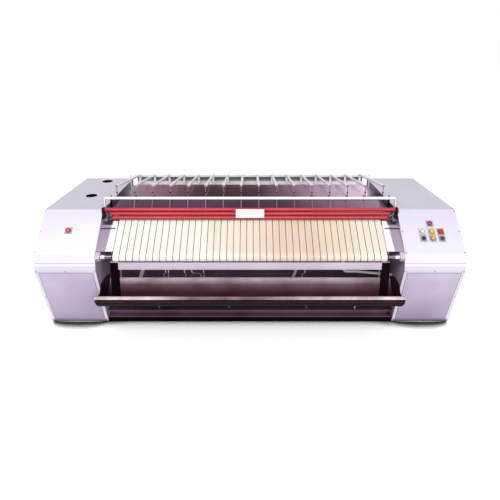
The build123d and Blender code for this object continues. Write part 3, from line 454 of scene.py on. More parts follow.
# Painted shade: a near-black for the inside of the rear cover.
dark_paint = finish("dark_inside_paint", (0.022, 0.010, 0.018), (0.010, 0.004, 0.008), 0.6)
white_paint = finish("white_paint", (0.93, 0.92, 0.94), (0.88, 0.87, 0.90), 0.35, coat=0.2)
grey_paint = finish("grey_paint", (0.88, 0.88, 0.90), (0.74, 0.74, 0.77), 0.45)
rail_paint = finish("rail_paint", (0.57, 0.48, 0.59), (0.50, 0.42, 0.53), 0.32, coat=0.2)
apron_paint = finish("apron_paint", (0.84, 0.82, 0.84), (0.78, 0.76, 0.79), 0.36)
# Painted shadow: the deflector sheet is painted dark grey from 1.234 m up, under the rack rail, and
# white at its foot.
deflector_paint = graded(finish("deflector_paint", (0.97, 0.92, 0.95), (0.90, 0.86, 0.89), 0.4),
                         "Z", [(1.20, (1, 1, 1)), (1.212, (0.92, 0.92, 0.92)),
                               (1.234, (0.24, 0.25, 0.23)), (1.31, (0.18, 0.19, 0.17))])
red_paint = finish("red_paint", (0.62, 0.06, 0.075), (0.52, 0.04, 0.055), 0.3, shine=0.25)
# Painted light and shade: each guard tube is painted lit red along its top and dark red along its
# underside and in the gaps between the tubes.
lit_red, shaded_red = (1, 1, 1), (0.30, 0.03, 0.04)
graded(red_paint, "Z", [(1.140, shaded_red), (1.150, (0.62, 0.25, 0.28)), (1.164, lit_red),
                        (1.174, lit_red), (1.179, shaded_red), (1.187, (0.62, 0.25, 0.28)),
                        (1.201, lit_red), (1.211, lit_red), (1.217, shaded_red),
                        (1.226, (0.62, 0.25, 0.28)), (1.240, lit_red), (1.255, lit_red)])
black_paint = finish("black_paint", (0.007, 0.003, 0.005), (0.003, 0.001, 0.002), 0.7, shine=0.02)
rear_block_paint = finish("rear_block_paint", (0.26, 0.20, 0.29), (0.17, 0.12, 0.19), 0.5)
lug_paint = finish("lug_paint", (0.030, 0.008, 0.014), (0.016, 0.004, 0.008), 0.5, shine=0.1)
hanger_paint = finish("hanger_paint", (0.24, 0.16, 0.22), (0.17, 0.10, 0.15), 0.5)
trough_steel = finish("trough_steel", (1.0, 0.88, 0.95), (0.62, 0.44, 0.52), 0.45,
                      patch=3.5, stretch=(1, 2, 2), depth=0.0004, speck=0.5)
# Painted shade: the trough's hollow is painted darker towards its bottom, nearly black at the
# lowest.
graded(trough_steel, "Z", [(0.29, (0.04, 0.008, 0.018)), (0.33, (0.08, 0.022, 0.042)),
                           (0.38, (0.27, 0.16, 0.21)), (0.425, (1, 1, 1))])
belly_steel = finish("trough_belly_steel", (0.12, 0.025, 0.028), (0.02, 0.004, 0.006), 0.6,
                     patch=1.4, shine=0.05)
# Painted light and shade: the belly is painted dark, lighter only just under the lip, where
# reflected light falls.
graded(belly_steel, "Z", [(0.29, (0.02, 0.01, 0.02)), (0.395, (0.03, 0.01, 0.02)),
                          (0.425, (0.10, 0.04, 0.06)), (0.44, (0.3, 0.2, 0.2))])
cheek_steel = finish("trough_end_steel", (0.045, 0.010, 0.020), (0.018, 0.003, 0.008), 0.5,
                     shine=0.1)
lip_steel = finish("lip_steel", (0.92, 0.78, 0.76), (0.50, 0.35, 0.36), 0.4, metal=0.3, patch=5,
                   stretch=(1, 0.2, 0.2), shine=0.1)
# Painted highlight and shade: the lip is painted bright in a band along its top and near-black
# below it; along its length the band is brightest near both ends and dim in the middle, a painted
# reflection.
graded(lip_steel, "Z", [(0.43, (0.008, 0.002, 0.003)), (0.460, (0.012, 0.004, 0.005)),
                        (0.464, (1, 1, 1)), (0.488, (1, 1, 1)), (0.495, (0.6, 0.55, 0.57))])
graded(lip_steel, "X", [(-1.5, (0.95, 0.95, 0.95)), (-1.0, (0.85, 0.84, 0.85)),
                        (-0.6, (0.32, 0.26, 0.30)), (-0.2, (0.36, 0.28, 0.32)),
                        (0.05, (0.25, 0.18, 0.21)), (0.35, (0.42, 0.36, 0.38)),
                        (0.8, (0.85, 0.82, 0.84)), (1.5, (0.95, 0.92, 0.94))])
bright_steel = finish("bright_steel", (0.80, 0.78, 0.82), (0.62, 0.60, 0.66), 0.22, metal=1.0,
                      stretch=(0.1, 1, 1), grain=600)
lagging = (0.05, 0.04, 0.05)
lagged_steel = finish("lagged_roller_steel", (0.80, 0.78, 0.82), (0.62, 0.60, 0.66), 0.3,
                      metal=0.8, stretch=(0.1, 1, 1), grain=600)
collar = (0.26, 0.19, 0.28)
graded(lagged_steel, "X", [(-1.505, (1, 1, 1)), (-1.418, (1, 1, 1)), (-1.414, collar),
                           (-1.346, collar), (-1.344, lagging), (1.344, lagging),
                           (1.346, collar), (1.414, collar), (1.418, (1, 1, 1)),
                           (1.505, (1, 1, 1))])
chest_iron = finish("chest_iron", (0.06, 0.04, 0.055), (0.025, 0.015, 0.022), 0.55, metal=0.3)
motor_paint = finish("motor_paint", (0.10, 0.16, 0.24), (0.07, 0.11, 0.17), 0.4)
hose_white = finish("hose_white", (0.92, 0.90, 0.93), (0.84, 0.81, 0.86), 0.4)
# Painted shade: the struts are painted dark below 0.40 m, where they stand under the trough, and
# white above.
strap_paint = graded(finish("strap_paint", (0.98, 0.97, 0.98), (0.92, 0.90, 0.92), 0.4), "Z",
                     [(0.13, (0.16, 0.13, 0.15)), (0.40, (0.16, 0.13, 0.15)),
                      (0.43, (1, 1, 1)), (0.74, (1, 1, 1))])
cable_sheath = finish("cable_sheath", (0.70, 0.62, 0.70), (0.52, 0.45, 0.52), 0.45)
foot_rubber = finish("foot_rubber", (0.005, 0.004, 0.005), (0.003, 0.002, 0.003), 0.9, shine=0.02)
screw_steel = finish("screw_steel", (0.42, 0.38, 0.44), (0.30, 0.27, 0.32), 0.3, metal=0.8)
bezel_plastic = finish("bezel_plastic", (0.40, 0.39, 0.42), (0.30, 0.29, 0.32), 0.4, grain=900)
ring_plastic = finish("ring_plastic", (0.10, 0.09, 0.11), (0.06, 0.05, 0.07), 0.3, grain=900)
CAP_SHADE = 0.82


def cap_plastic(name, colour):
    """Glossy moulded plastic in one colour."""
    darker = tuple(channel * CAP_SHADE for channel in colour)
    return finish(name, colour, darker, 0.22, patch=30, coat=0.5, grain=900, depth=0.00004)


red_plastic = cap_plastic("red_cap", (0.62, 0.02, 0.02))
maroon_plastic = cap_plastic("maroon_cap", (0.30, 0.012, 0.03))
white_plastic = cap_plastic("white_cap", (0.78, 0.78, 0.80))
amber_plastic = cap_plastic("amber_cap", (0.86, 0.50, 0.06))
yellow_plastic = cap_plastic("yellow_cap", (0.80, 0.68, 0.10))
black_plastic = cap_plastic("black_cap", (0.015, 0.012, 0.018))
purple_plastic = cap_plastic("purple_cap", (0.085, 0.02, 0.07))
print("finishes ready")

# %% [markdown]
# ## Cloth finishes
#
# Belts, tapes and padding are woven. Two fine wave patterns, one along each thread direction, make
# the weave. The belts and tapes carry a UV map in metres, so that the weave follows them round
# their rollers.

# %% Woven cloth
CLOTH_ROUGH, SHEEN_ROUGH, WAVES_PER_THREAD, WAVE_BEND, BEND_SCALE = 0.85, 0.6, 0.31, 0.6, 30
WEAVE_BUMP, WEAVE_DEPTH, WEAVE_SHADE, STRIPE_SHADE = 0.6, 0.0003, 0.10, 0.06


def cloth(name, light, dark, thread, sheen=0.3, by_uv=True, stripes=0.0):
    """A plain weave: threads across and along, in a tone that drifts a little."""
    material = finish(name, light, dark, CLOTH_ROUGH, patch=3.0, depth=WEAVE_DEPTH)
    tree = material.node_tree
    new, link = tree.nodes.new, tree.links.new
    shader = tree.nodes["Principled BSDF"]
    put(shader, "Sheen Weight", sheen)
    put(shader, "Sheen Roughness", SHEEN_ROUGH)
    where = new("ShaderNodeTexCoord")
    source = where.outputs["UV" if by_uv else "Object"]
    heights = []
    for axis in ("X", "Y"):
        threads = new("ShaderNodeTexWave")
        threads.bands_direction = axis
        put(threads, "Scale", WAVES_PER_THREAD / thread)
        put(threads, "Distortion", WAVE_BEND)
        put(threads, "Detail Scale", BEND_SCALE)
        link(source, threads.inputs["Vector"])
        heights.append(threads)
    weave = new("ShaderNodeMath")
    weave.operation = "MULTIPLY"
    link(heights[0].outputs["Fac"], weave.inputs[0])
    link(heights[1].outputs["Fac"], weave.inputs[1])
    old = next(node for node in tree.nodes if node.bl_idname == "ShaderNodeBump")
    bump = new("ShaderNodeBump")
    put(bump, "Strength", WEAVE_BUMP)
    put(bump, "Distance", WEAVE_DEPTH)
    link(weave.outputs[0], bump.inputs["Height"])
    link(old.outputs["Normal"], bump.inputs["Normal"])
    link(bump.outputs["Normal"], shader.inputs["Normal"])
    shade = new("ShaderNodeMix")
    shade.data_type = "RGBA"
    shade.blend_type = "MULTIPLY"
    put(shade, "Factor", WEAVE_SHADE)
    before = shader.inputs["Base Color"].links[0].from_socket
    link(before, shade.inputs["A"])
    link(weave.outputs[0], shade.inputs["B"])
    link(shade.outputs["Result"], shader.inputs["Base Color"])
    if stripes:
        lengthwise = new("ShaderNodeSeparateXYZ")
        link(where.outputs["Object"], lengthwise.inputs[0])
        centred = new("ShaderNodeMath")
        put(centred, 1, stripes / 2)
        link(lengthwise.outputs["X"], centred.inputs[0])
        steps = new("ShaderNodeMath")
        steps.operation = "SNAP"
        put(steps, 1, stripes)
        link(centred.outputs[0], steps.inputs[0])
        random_tone = new("ShaderNodeTexWhiteNoise")
        random_tone.noise_dimensions = "1D"
        link(steps.outputs[0], random_tone.inputs["W"])
        tint = new("ShaderNodeMix")
        tint.data_type = "RGBA"
        tint.blend_type = "MULTIPLY"
        put(tint, "Factor", STRIPE_SHADE)
        link(shade.outputs["Result"], tint.inputs["A"])
        link(random_tone.outputs["Value"], tint.inputs["B"])
        link(tint.outputs["Result"], shader.inputs["Base Color"])
    return material


# Painted light: the canvas is painted palest at the left, where the light falls strongest, tan from
# the middle to the right and lighter again at the right-hand end; round the front roller, where the
# belts turn away from the lamps, it is painted lighter than on the table.
belt_canvas = graded(
    cloth("belt_canvas", (0.97, 0.96, 0.94), (0.91, 0.89, 0.86), 0.0016, stripes=0.065), "X",
    [(-1.35, (1, 1.02, 1.02)), (-0.9, (1, 1.02, 0.99)), (-0.5, (0.97, 0.98, 0.90)),
     (0.0, (0.95, 0.83, 0.73)), (0.3, (0.87, 0.69, 0.58)), (0.6, (0.86, 0.70, 0.57)),
     (0.9, (0.92, 0.78, 0.63)), (1.35, (0.95, 0.92, 0.82))])
graded(belt_canvas, "Z", [(0.80, (1, 1, 1)), (0.888, (1, 1, 1)), (0.908, (0.91, 0.89, 0.86)),
                          (1.16, (0.91, 0.91, 0.86))])
# Painted sheen and shade: each roll's cloth is painted dark in the middle of the roll and lighter
# towards its ends, brightest at the right-hand end.
padding_cloth = {
    "front": graded(
        cloth("front_roll_cloth", (0.60, 0.50, 0.60), (0.46, 0.37, 0.45), 0.003, by_uv=False,
              sheen=0.15), "X",
        [(-1.4, (0.20, 0.10, 0.18)), (-0.5, (0.18, 0.08, 0.17)), (0.0, (0.09, 0.025, 0.07)),
         (0.4, (0.14, 0.06, 0.11)), (0.9, (0.42, 0.27, 0.36)), (1.4, (0.62, 0.48, 0.56))]),
    "rear": graded(
        cloth("rear_roll_cloth", (0.84, 0.70, 0.82), (0.68, 0.55, 0.65), 0.003, by_uv=False,
              sheen=0.12), "X",
        [(-1.4, (0.50, 0.38, 0.42)), (-1.0, (0.29, 0.17, 0.21)), (-0.6, (0.075, 0.024, 0.045)),
         (0.1, (0.075, 0.022, 0.042)), (0.6, (0.36, 0.26, 0.31)), (1.4, (1.0, 0.94, 0.95))]),
}
tape_cotton = cloth("tape_cotton", (0.34, 0.26, 0.33), (0.24, 0.17, 0.23), 0.0012)
print("cloths ready")

# %% [markdown]
# ## The feed belts
#
# Forty-one endless canvas belts run up the table and round its two rollers. Each is a strip of
# canvas laid round the taut outline of the rollers: a short arc, a straight run, the other arc and
# the run back. The strip is made as a closed loop of cloth with no thickness, then Solidify gives
# it the canvas's thickness. Modelled so, every belt keeps its real length.

# %% A strip of cloth round a closed path
PATH_STEP, STRAIGHT_STEP, LEAST_TURNS, EDGE_EASE = 0.012, 0.036, 6, 0.3


def taut_path(wheels):
    """Points (y, z) round two wheels of one radius, evenly spaced in angle, taut between them."""
    (y0, z0, radius), (y1, z1, _) = wheels
    lean = atan2(z1 - z0, y1 - y0)
    turns = max(LEAST_TURNS, round(pi * radius / PATH_STEP))
    run = max(2, round(hypot(y1 - y0, z1 - z0) / STRAIGHT_STEP))
    points = []
    for y, z, start in ((y0, z0, lean + pi / 2), (y1, z1, lean - pi / 2)):
        angles = [start + pi * i / turns for i in range(turns + 1)]
        points += [(y + radius * cos(a), z + radius * sin(a)) for a in angles]
        if y == y0:
            last, first = points[-1], (y1 + radius * cos(lean - pi / 2),
                                       z1 + radius * sin(lean - pi / 2))
            points += [(last[0] + (first[0] - last[0]) * i / run,
                        last[1] + (first[1] - last[1]) * i / run) for i in range(1, run)]
    last, first = points[-1], points[0]
    points += [(last[0] + (first[0] - last[0]) * i / run,
                last[1] + (first[1] - last[1]) * i / run) for i in range(1, run)]
    return points


def loop_length(points):
    """The length of a closed path, in metres."""
    return sum(dist(a, b) for a, b in zip(points, points[1:] + points[:1]))


def strips(name, points, places, width, thickness, across=3):
    """Closed strips of cloth, side by side, with a UV map in metres."""
    vertices, faces, coordinates = [], [], []
    travelled = [0]
    for a, b in zip(points, points[1:] + points[:1]):
        travelled.append(travelled[-1] + dist(a, b))
    count = len(points)
    for x in places:
        base = len(vertices)
        sides = [x - width / 2 + width * i / across for i in range(across + 1)]
        vertices += [(side, y, z) for y, z in points for side in sides]
        for i in range(count):
            for j in range(across):
                a = base + i * (across + 1) + j
                b = base + ((i + 1) % count) * (across + 1) + j
                faces.append((a, b, b + 1, a + 1))
                left, right = sides[j] - x, sides[j + 1] - x
                coordinates += [(left, travelled[i]), (left, travelled[i + 1]),
                                (right, travelled[i + 1]), (right, travelled[i])]
    mesh = bpy.data.meshes.new(name)
    mesh.from_pydata(vertices, [], faces)
    mesh.uv_layers.new(name="metres")
    for corner, at in enumerate(coordinates):
        mesh.uv_layers["metres"].data[corner].uv = at
    piece = bpy.data.objects.new(name, mesh)
    bpy.context.collection.objects.link(piece)
    only(piece)
    bpy.ops.object.mode_set(mode="EDIT")
    bpy.ops.mesh.select_all(action="SELECT")
    bpy.ops.mesh.normals_make_consistent(inside=False)
    bpy.ops.object.mode_set(mode="OBJECT")
    modified(piece, "SOLIDIFY", thickness=thickness, offset=-1, use_even_offset=True)
    modified(piece, "BEVEL", width=thickness * EDGE_EASE, segments=1, limit_method="ANGLE",
             angle_limit=1.0)
    return smoothed(piece, SMOOTH_ANGLE)


# %% Feed belts
BELT_COUNT, BELT_PITCH, BELT_WIDTH, BELT_THICKNESS = 41, 0.065, 0.059, 0.0024
BELT_RUN, TABLE_LENGTH, TABLE_ANGLE = 0.0449, 0.415, radians(40)
FRONT_FEED = (-0.698, 0.848, BELT_RUN)
REAR_FEED = (FRONT_FEED[0] + TABLE_LENGTH * cos(TABLE_ANGLE),
             FRONT_FEED[1] + TABLE_LENGTH * sin(TABLE_ANGLE), BELT_RUN)
belt_path = taut_path([FRONT_FEED, REAR_FEED])
belt_places = [BELT_PITCH * (i - BELT_COUNT // 2) for i in range(BELT_COUNT)]
belts = strips("canvas_feed_belts", belt_path, belt_places, BELT_WIDTH, BELT_THICKNESS)
dressed(belts, "canvas_feed_belts", "frame", belt_canvas, "belt_canvas", "feed_belts")
print("belt loop", round(loop_length(belt_path), 3), "m")

# %% [markdown]
# ## The rolls' padding
#
# Each roll is a steel drum wound with thick cloth, which a cord draws in over both ends. The
# padding is turned from its section: a long plain barrel with rounded shoulders. The shoulders
# then get the radial gathers that a drawcord makes, and the barrel a slight unevenness of wound
# cloth, by moving its points.

# %% Roll padding
ROLL_HEIGHT, FRONT_ROLL_Y, REAR_ROLL_Y = 1.039, -0.078, 0.468
ROLL_RADIUS, ROLL_HALF, CORE_RADIUS, CLOTH_WALL = 0.1998, 1.4, 0.1803, 0.012
ROLL_SIDES, BARREL_STEPS, SHOULDER = 192, 40, 0.030
GATHERS, GATHER_DEPTH, GATHER_REACH, SINK = 48, 0.0022, 0.024, 0.001


def padding(roll_y):
    """A barrel of wound cloth with gathered shoulders."""
    rings = [(0.0, CORE_RADIUS + 0.001), (0.0012, 0.186), (0.004, 0.1895), (0.008, 0.1935),
             (0.013, 0.1970), (0.020, 0.1990), (SHOULDER, ROLL_RADIUS)]
    plain = 2 * (ROLL_HALF - SHOULDER)
    barrel = [(SHOULDER + plain * i / BARREL_STEPS, ROLL_RADIUS) for i in range(1, BARREL_STEPS)]
    ends = [(2 * ROLL_HALF - along, radius) for along, radius in reversed(rings)]
    piece = turned((-ROLL_HALF, roll_y, ROLL_HEIGHT), (1, 0, 0), rings + barrel + ends,
                   ROLL_SIDES, closed=False)
    only(piece)
    bpy.ops.object.mode_set(mode="EDIT")
    bpy.ops.mesh.select_all(action="SELECT")
    bpy.ops.mesh.normals_make_consistent(inside=False)
    bpy.ops.object.mode_set(mode="OBJECT")
    for vertex in piece.data.vertices:
        x, y, z = vertex.co.x, vertex.co.y - roll_y, vertex.co.z - ROLL_HEIGHT
        radius, angle = hypot(y, z), atan2(z, y)
        from_end = ROLL_HALF - abs(x)
        wound = 0.0005 * sin(37 * x + 2 * angle) + 0.0004 * sin(11 * x - 3 * angle)
        fade = max(0.0, 1 - from_end / GATHER_REACH)
        gather = GATHER_DEPTH * fade * (0.5 + 0.5 * cos(GATHERS * angle))
        new_radius = radius - SINK + wound - gather
        vertex.co.y = roll_y + new_radius * cos(angle)
        vertex.co.z = ROLL_HEIGHT + new_radius * sin(angle)
    modified(piece, "SOLIDIFY", thickness=CLOTH_WALL, offset=-1)
    return smoothed(piece, 0.9)


for name, roll_y in (("front", FRONT_ROLL_Y), ("rear", REAR_ROLL_Y)):
    made = padding(roll_y)
    dressed(made, f"{name}_roll_cloth", f"{name}_roll", padding_cloth[name], "roll_cloth",
            f"{name}_roll_padding")

# %% [markdown]
# ## The guide tapes
#
# Fourteen narrow cotton tapes carry the linen over both rolls, down between them over the bridge
# and under them. Their path is worked out once, from the two rolls and the small pulley on the tape
# rod, and then laid side by side like the belts. Behind the rod they take the rear roll's cloth
# finish, with its painted sheen and shade.

# %% Guide tapes
TAPE_RUN, PULLEY_Y, PULLEY_Z, PULLEY_RUN = 0.2009, -0.124, 1.270, 0.0209
ROLL_STEP, SADDLE_STEP, PULLEY_STEP = 0.02, 0.012, 0.008
TAPE_COUNT, TAPE_PITCH, TAPE_WIDTH, TAPE_THICKNESS = 14, 0.19, 0.0098, 0.0009


def tangent_angle(first, second):
    """The angle at which the upper outer tangent touches two circles (y, z, radius)."""
    (y0, z0, r0), (y1, z1, r1) = first, second
    run = hypot(y1 - y0, z1 - z0)
    return atan2(z1 - z0, y1 - y0) + acos((r0 - r1) / run)


def arc(circle, start, end, step):
    """Points on a circle from one angle to another."""
    y, z, radius = circle
    count = max(3, round(abs(end - start) * radius / step))
    angles = [start + (end - start) * i / count for i in range(count + 1)]
    return [(y + radius * cos(a), z + radius * sin(a)) for a in angles]


front = (FRONT_ROLL_Y, ROLL_HEIGHT, TAPE_RUN)
rear = (REAR_ROLL_Y, ROLL_HEIGHT, TAPE_RUN)
pulley = (PULLEY_Y, PULLEY_Z, PULLEY_RUN)
saddle = ((FRONT_ROLL_Y + REAR_ROLL_Y) / 2, ROLL_HEIGHT,
          (REAR_ROLL_Y - FRONT_ROLL_Y) / 2 - TAPE_RUN)
rise = tangent_angle(front, pulley)
fall = tangent_angle(pulley, rear)
tape_path = (
    arc(rear, fall, -pi, ROLL_STEP)
    + arc(saddle, 0, pi, SADDLE_STEP)[1:]
    + arc(front, 0, rise - 2 * pi, ROLL_STEP)[1:]
    + arc(pulley, rise, fall, PULLEY_STEP)
)
print("tape loop", round(loop_length(tape_path), 3), "m")
tape_places = [TAPE_PITCH * (i - (TAPE_COUNT - 1) / 2) for i in range(TAPE_COUNT)]
tapes = strips("cotton_guide_tapes", tape_path, tape_places, TAPE_WIDTH, TAPE_THICKNESS, across=1)
dressed(tapes, "cotton_guide_tapes", "frame", tape_cotton, "tape_cotton", "guide_tapes")
# Behind the rod the tapes take the rear roll's cloth finish, its painted sheen and shade included.
also(tapes, padding_cloth["rear"])
for face in tapes.data.polygons:
    face.material_index = int(face.center.y > PULLEY_Y)

# %% [markdown]
# ## The cabinets' panels
#
# The cabinets are boxes of folded sheet. On the real machine each lower panel is a tray: its field
# stands a little proud of a border that carries the screws. A copy of the solid gets that field by
# two insets of its front faces, the second of which also lifts them. All sheet edges are eased, so
# that they catch a thin line of light.

# %% Selecting faces by where they look
LEAST_FACING = 0.97


def facing(piece, direction):
    """Selects a piece's faces that look in a direction, in edit mode."""
    only(piece)
    bpy.ops.object.mode_set(mode="EDIT")
    bpy.ops.mesh.select_mode(type="FACE")
    bpy.ops.mesh.select_all(action="DESELECT")
    bpy.ops.object.mode_set(mode="OBJECT")
    direction = Vector(direction).normalized()
    for face in piece.data.polygons:
        face.select = face.normal.dot(direction) > LEAST_FACING
    bpy.ops.object.mode_set(mode="EDIT")


def trayed(piece, direction, border, step, lift):
    """Raises or sinks the field of a panel inside a flat border."""
    facing(piece, direction)
    bpy.ops.mesh.inset(thickness=border, depth=0)
    bpy.ops.mesh.inset(thickness=step, depth=lift)
    bpy.ops.object.mode_set(mode="OBJECT")


# %% Lower front panels
PANEL_BORDER, GROOVE, TRAY_LIFT = 0.030, 0.006, 0.002
PANEL_OUT = Vector((0, -0.937, -0.349)).normalized()
FLANGE_LOW = 0.726
lower_panels = cast("lower_front_panels")
trayed(lower_panels, PANEL_OUT, border=PANEL_BORDER, step=GROOVE, lift=TRAY_LIFT)
softened(lower_panels, 0.0007)
dressed(lower_panels, "lower_panel_trays", "frame", lower_paint, "cabinet_paint",
        "lower_front_panels")
also(lower_panels, border_paint, groove_paint, flange_paint)
# The groove faces get the painted shade and the flange faces the painted highlight of their
# finishes.
field = max(face.center.dot(PANEL_OUT) for face in lower_panels.data.polygons)
for face in lower_panels.data.polygons:
    sunk = field - face.center.dot(PANEL_OUT)
    if face.center.z > FLANGE_LOW:
        face.material_index = 3
    elif TRAY_LIFT * 0.9 < sunk < TRAY_LIFT * 1.2:
        face.material_index = 1
    elif TRAY_LIFT * 0.1 < sunk < TRAY_LIFT * 0.9:
        face.material_index = 2

# %% Upper panels and covers
for side in ("left", "right"):
    panel = softened(cast(f"{side}_upper_front_panel"), 0.0008)
    dressed(panel, f"{side}_console_panel", "frame", cabinet_paint, "cabinet_paint",
            f"{side}_upper_front_panel")
    cover = softened(cast(f"{side}_top_cover"), 0.0008)
    dressed(cover, f"{side}_top_sheet", "frame", cabinet_paint, "cabinet_paint",
            f"{side}_top_cover")

# %% Rear cover: a light sheet outside, dark inside
SHEET, LINING_BACK, LINING_FRONT, SHELF = 0.001, 0.0011, 0.0019, 0.002
low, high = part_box("rear_cover")
outer_sheet = block((low.x, high.y - SHEET, low.z), high)
softened(outer_sheet, 0.0004)
dressed(outer_sheet, "rear_cover_sheet", "frame", cabinet_paint, "cabinet_paint")
# Painted shade: the cover's inner lining and top shelf are painted near-black, as the shade inside
# the machine.
lining = block((low.x, high.y - LINING_FRONT, low.z),
               (high.x, high.y - LINING_BACK, high.z - SHELF))
shelf = block((low.x, low.y, high.z - SHELF), (high.x, high.y - SHELF, high.z))
softened(joined([lining, shelf]), 0.0003)
dressed(bpy.context.object, "rear_cover_lining", "frame", dark_paint, "frame_paint", "rear_cover")

# %% [markdown]
# ## The catch trough
#
# The linen waits in a half-round steel trough before it is fed. Its sheet is dull and flecked, and
# its hollow is painted darker towards the bottom, as shade. Its front lip carries a painted
# highlight along its top. The solid's copy gets three finishes: one for the lip, by height, and one
# each for the hollow and the belly, by where a face looks.

# %% Trough and its ends
LIP_BOTTOM, TROUGH_AXIS = 0.440, Vector((0, -0.579, 0.578))
trough = softened(cast("catch_trough"), 0.0007)
dressed(trough, "linen_trough", "frame", trough_steel, "trough_steel", "catch_trough")
also(trough, lip_steel, belly_steel)
for face in trough.data.polygons:
    towards = TROUGH_AXIS - face.center
    towards.x = 0
    if face.center.z > LIP_BOTTOM:
        face.material_index = 1
    elif face.normal.dot(towards) < 0:
        face.material_index = 2
cheeks = softened(cast("trough_ends"), 0.0007)
dressed(cheeks, "trough_cheeks", "frame", cheek_steel, "trough_steel", "trough_ends")

# %% [markdown]
# ## The push buttons and their bezels
#
# Eight controls stand on the sloping panels. Each has a square plate with a raised border and a
# round well, a dark retaining ring and its own cap, which sinks into the well when it is pushed.
# Caps and rings are turned from their sections: a circle is extruded ring by ring along the axis,
# each ring scaled to its radius, which is how such a part is drawn for a lathe. A Boolean then
# bores the wells and the rings.

# %% Places on the console
BROW = Vector((0, -0.390, 1.227))
DOWN = Vector((0, -0.332, -0.343)).normalized()
OUT = Vector((0, -0.343, 0.332)).normalized()
SLOPE = atan2(0.343, 0.332)
CAP_SIDES, DRILL_LENGTH = 48, 0.02
controls = {
    "left_emergency_stop": (-1.810, 0.231, red_plastic, "red_cap"),
    "right_emergency_stop": (1.806, 0.157, maroon_plastic, "red_cap"),
    "start_button": (1.715, 0.243, white_plastic, "white_cap"),
    "pause_button": (1.806, 0.243, yellow_plastic, "amber_cap"),
    "stop_button": (1.897, 0.243, red_plastic, "red_cap"),
    "mode_selector": (1.715, 0.315, black_plastic, "black_cap"),
    "jog_button": (1.806, 0.315, amber_plastic, "yellow_cap"),
    "reset_button": (1.897, 0.315, purple_plastic, "purple_cap"),
}


def on_console(x, down, out):
    """A point on the sloping panel, or a little out from it."""
    return Vector((x, 0, 0)) + BROW + DOWN * down + OUT * out


def slab(x, down, out_low, out_high, width, height):
    """A block that stands on the sloping panel."""
    deselect()
    bpy.ops.mesh.primitive_cube_add(
        size=1, location=on_console(x, down, (out_low + out_high) / 2),
        rotation=(SLOPE, 0, 0), scale=(width, height, out_high - out_low))
    return settle(bpy.context.object)


def bored(piece, x, down, floor, radius):
    """Sinks a round hole into a piece on the console, down to its floor."""
    deselect()
    bpy.ops.mesh.primitive_cylinder_add(
        vertices=CAP_SIDES, radius=radius, depth=DRILL_LENGTH, rotation=(SLOPE, 0, 0),
        location=on_console(x, down, floor + DRILL_LENGTH / 2))
    cutter = settle(bpy.context.object)
    modified(piece, "BOOLEAN", object=cutter, operation="DIFFERENCE", solver="EXACT")
    bpy.data.objects.remove(cutter)
    return smoothed(piece, FOLD_ANGLE)


# %% Bezel plates and retaining rings
PLATE, PLATE_FOOT, PLATE_TOP, PLATE_SINK = 0.068, 0.0002, 0.006, 0.0012
WELL_FLOOR, WELL_RADIUS, RING_BORE = 0.003, 0.0174, 0.0222
plates, rings = [], []
ring_section = [(0, 0.0255), (0.0022, 0.0255), (0.0034, 0.0240), (0.0034, 0.0230)]
for name, (x, down, _, _) in controls.items():
    plate = slab(x, down, PLATE_FOOT, PLATE_TOP, PLATE, PLATE)
    trayed(plate, OUT, border=0.0035, step=0.0015, lift=-PLATE_SINK)
    plates.append(bored(softened(plate, 0.0008), x, down, WELL_FLOOR, WELL_RADIUS))
    ring = turned(on_console(x, down, PLATE_TOP - PLATE_SINK), OUT, ring_section, CAP_SIDES)
    rings.append(bored(ring, x, down, WELL_FLOOR, RING_BORE))
plates = joined(plates)
dressed(plates, "control_plates", "frame", bezel_plastic, "grey_bezel", "button_bezels")
rings = joined(rings)
dressed(rings, "retaining_rings", "frame", ring_plastic, "grey_bezel")

# %% Coloured frames round the buttons of the middle row
FRAME_SIZE, FRAME_FOOT, FRAME_TOP = 0.057, PLATE_TOP - 0.0011, PLATE_TOP + 0.0006
for name, material, slot in (("start_button", white_plastic, "white_cap"),
                             ("pause_button", amber_plastic, "amber_cap"),
                             ("stop_button", red_plastic, "red_cap")):
    x, down = controls[name][:2]
    frame_plate = slab(x, down, FRAME_FOOT, FRAME_TOP, FRAME_SIZE, FRAME_SIZE)
    trayed(frame_plate, OUT, border=0.002, step=0.001, lift=-0.0005)
    bored(softened(frame_plate, 0.0004), x, down, WELL_FLOOR, WELL_RADIUS)
    dressed(frame_plate, f"{name}_frame", "frame", material, slot)

# %% Caps
SEAT, KNOB_SEAT, KNOB_SIDES = 0.0073, 0.0035, 40
GRIP_LOW, GRIP_HIGH, GRIP_WIDTH, GRIP_LENGTH, GRIP_EASE = 0.0165, 0.0300, 0.0064, 0.0300, 0.0022
push_section = [(0, 0.0168), (0.0100, 0.0168), (0.0126, 0.0158), (0.0138, 0.0135),
                (0.0134, 0.0110), (0.0130, 0.0060), (0.0130, 0.0010)]
mushroom_section = [(0, 0.0105), (0.0042, 0.0105), (0.0052, 0.0195), (0.0080, 0.0216),
                    (0.0118, 0.0214), (0.0150, 0.0188), (0.0170, 0.0140), (0.0179, 0.0070),
                    (0.0180, 0.0010)]
knob_section = [(0, 0.0168), (0.0110, 0.0162), (0.0136, 0.0145), (0.0140, 0.0120),
                (0.0140, 0.0010)]
for name, (x, down, material, slot) in controls.items():
    if name == "mode_selector":
        knob = turned(on_console(x, down, KNOB_SEAT), OUT, knob_section, KNOB_SIDES)
        grip = slab(x, down, GRIP_LOW, GRIP_HIGH, GRIP_WIDTH, GRIP_LENGTH)
        softened(grip, GRIP_EASE, segments=3)
        piece = joined([knob, grip])
    elif "emergency" in name:
        piece = turned(on_console(x, down, SEAT), OUT, mushroom_section, CAP_SIDES)
    else:
        piece = turned(on_console(x, down, SEAT), OUT, push_section, CAP_SIDES)
    dressed(piece, f"{name}_cap", f"{name}_body", material, slot, name)

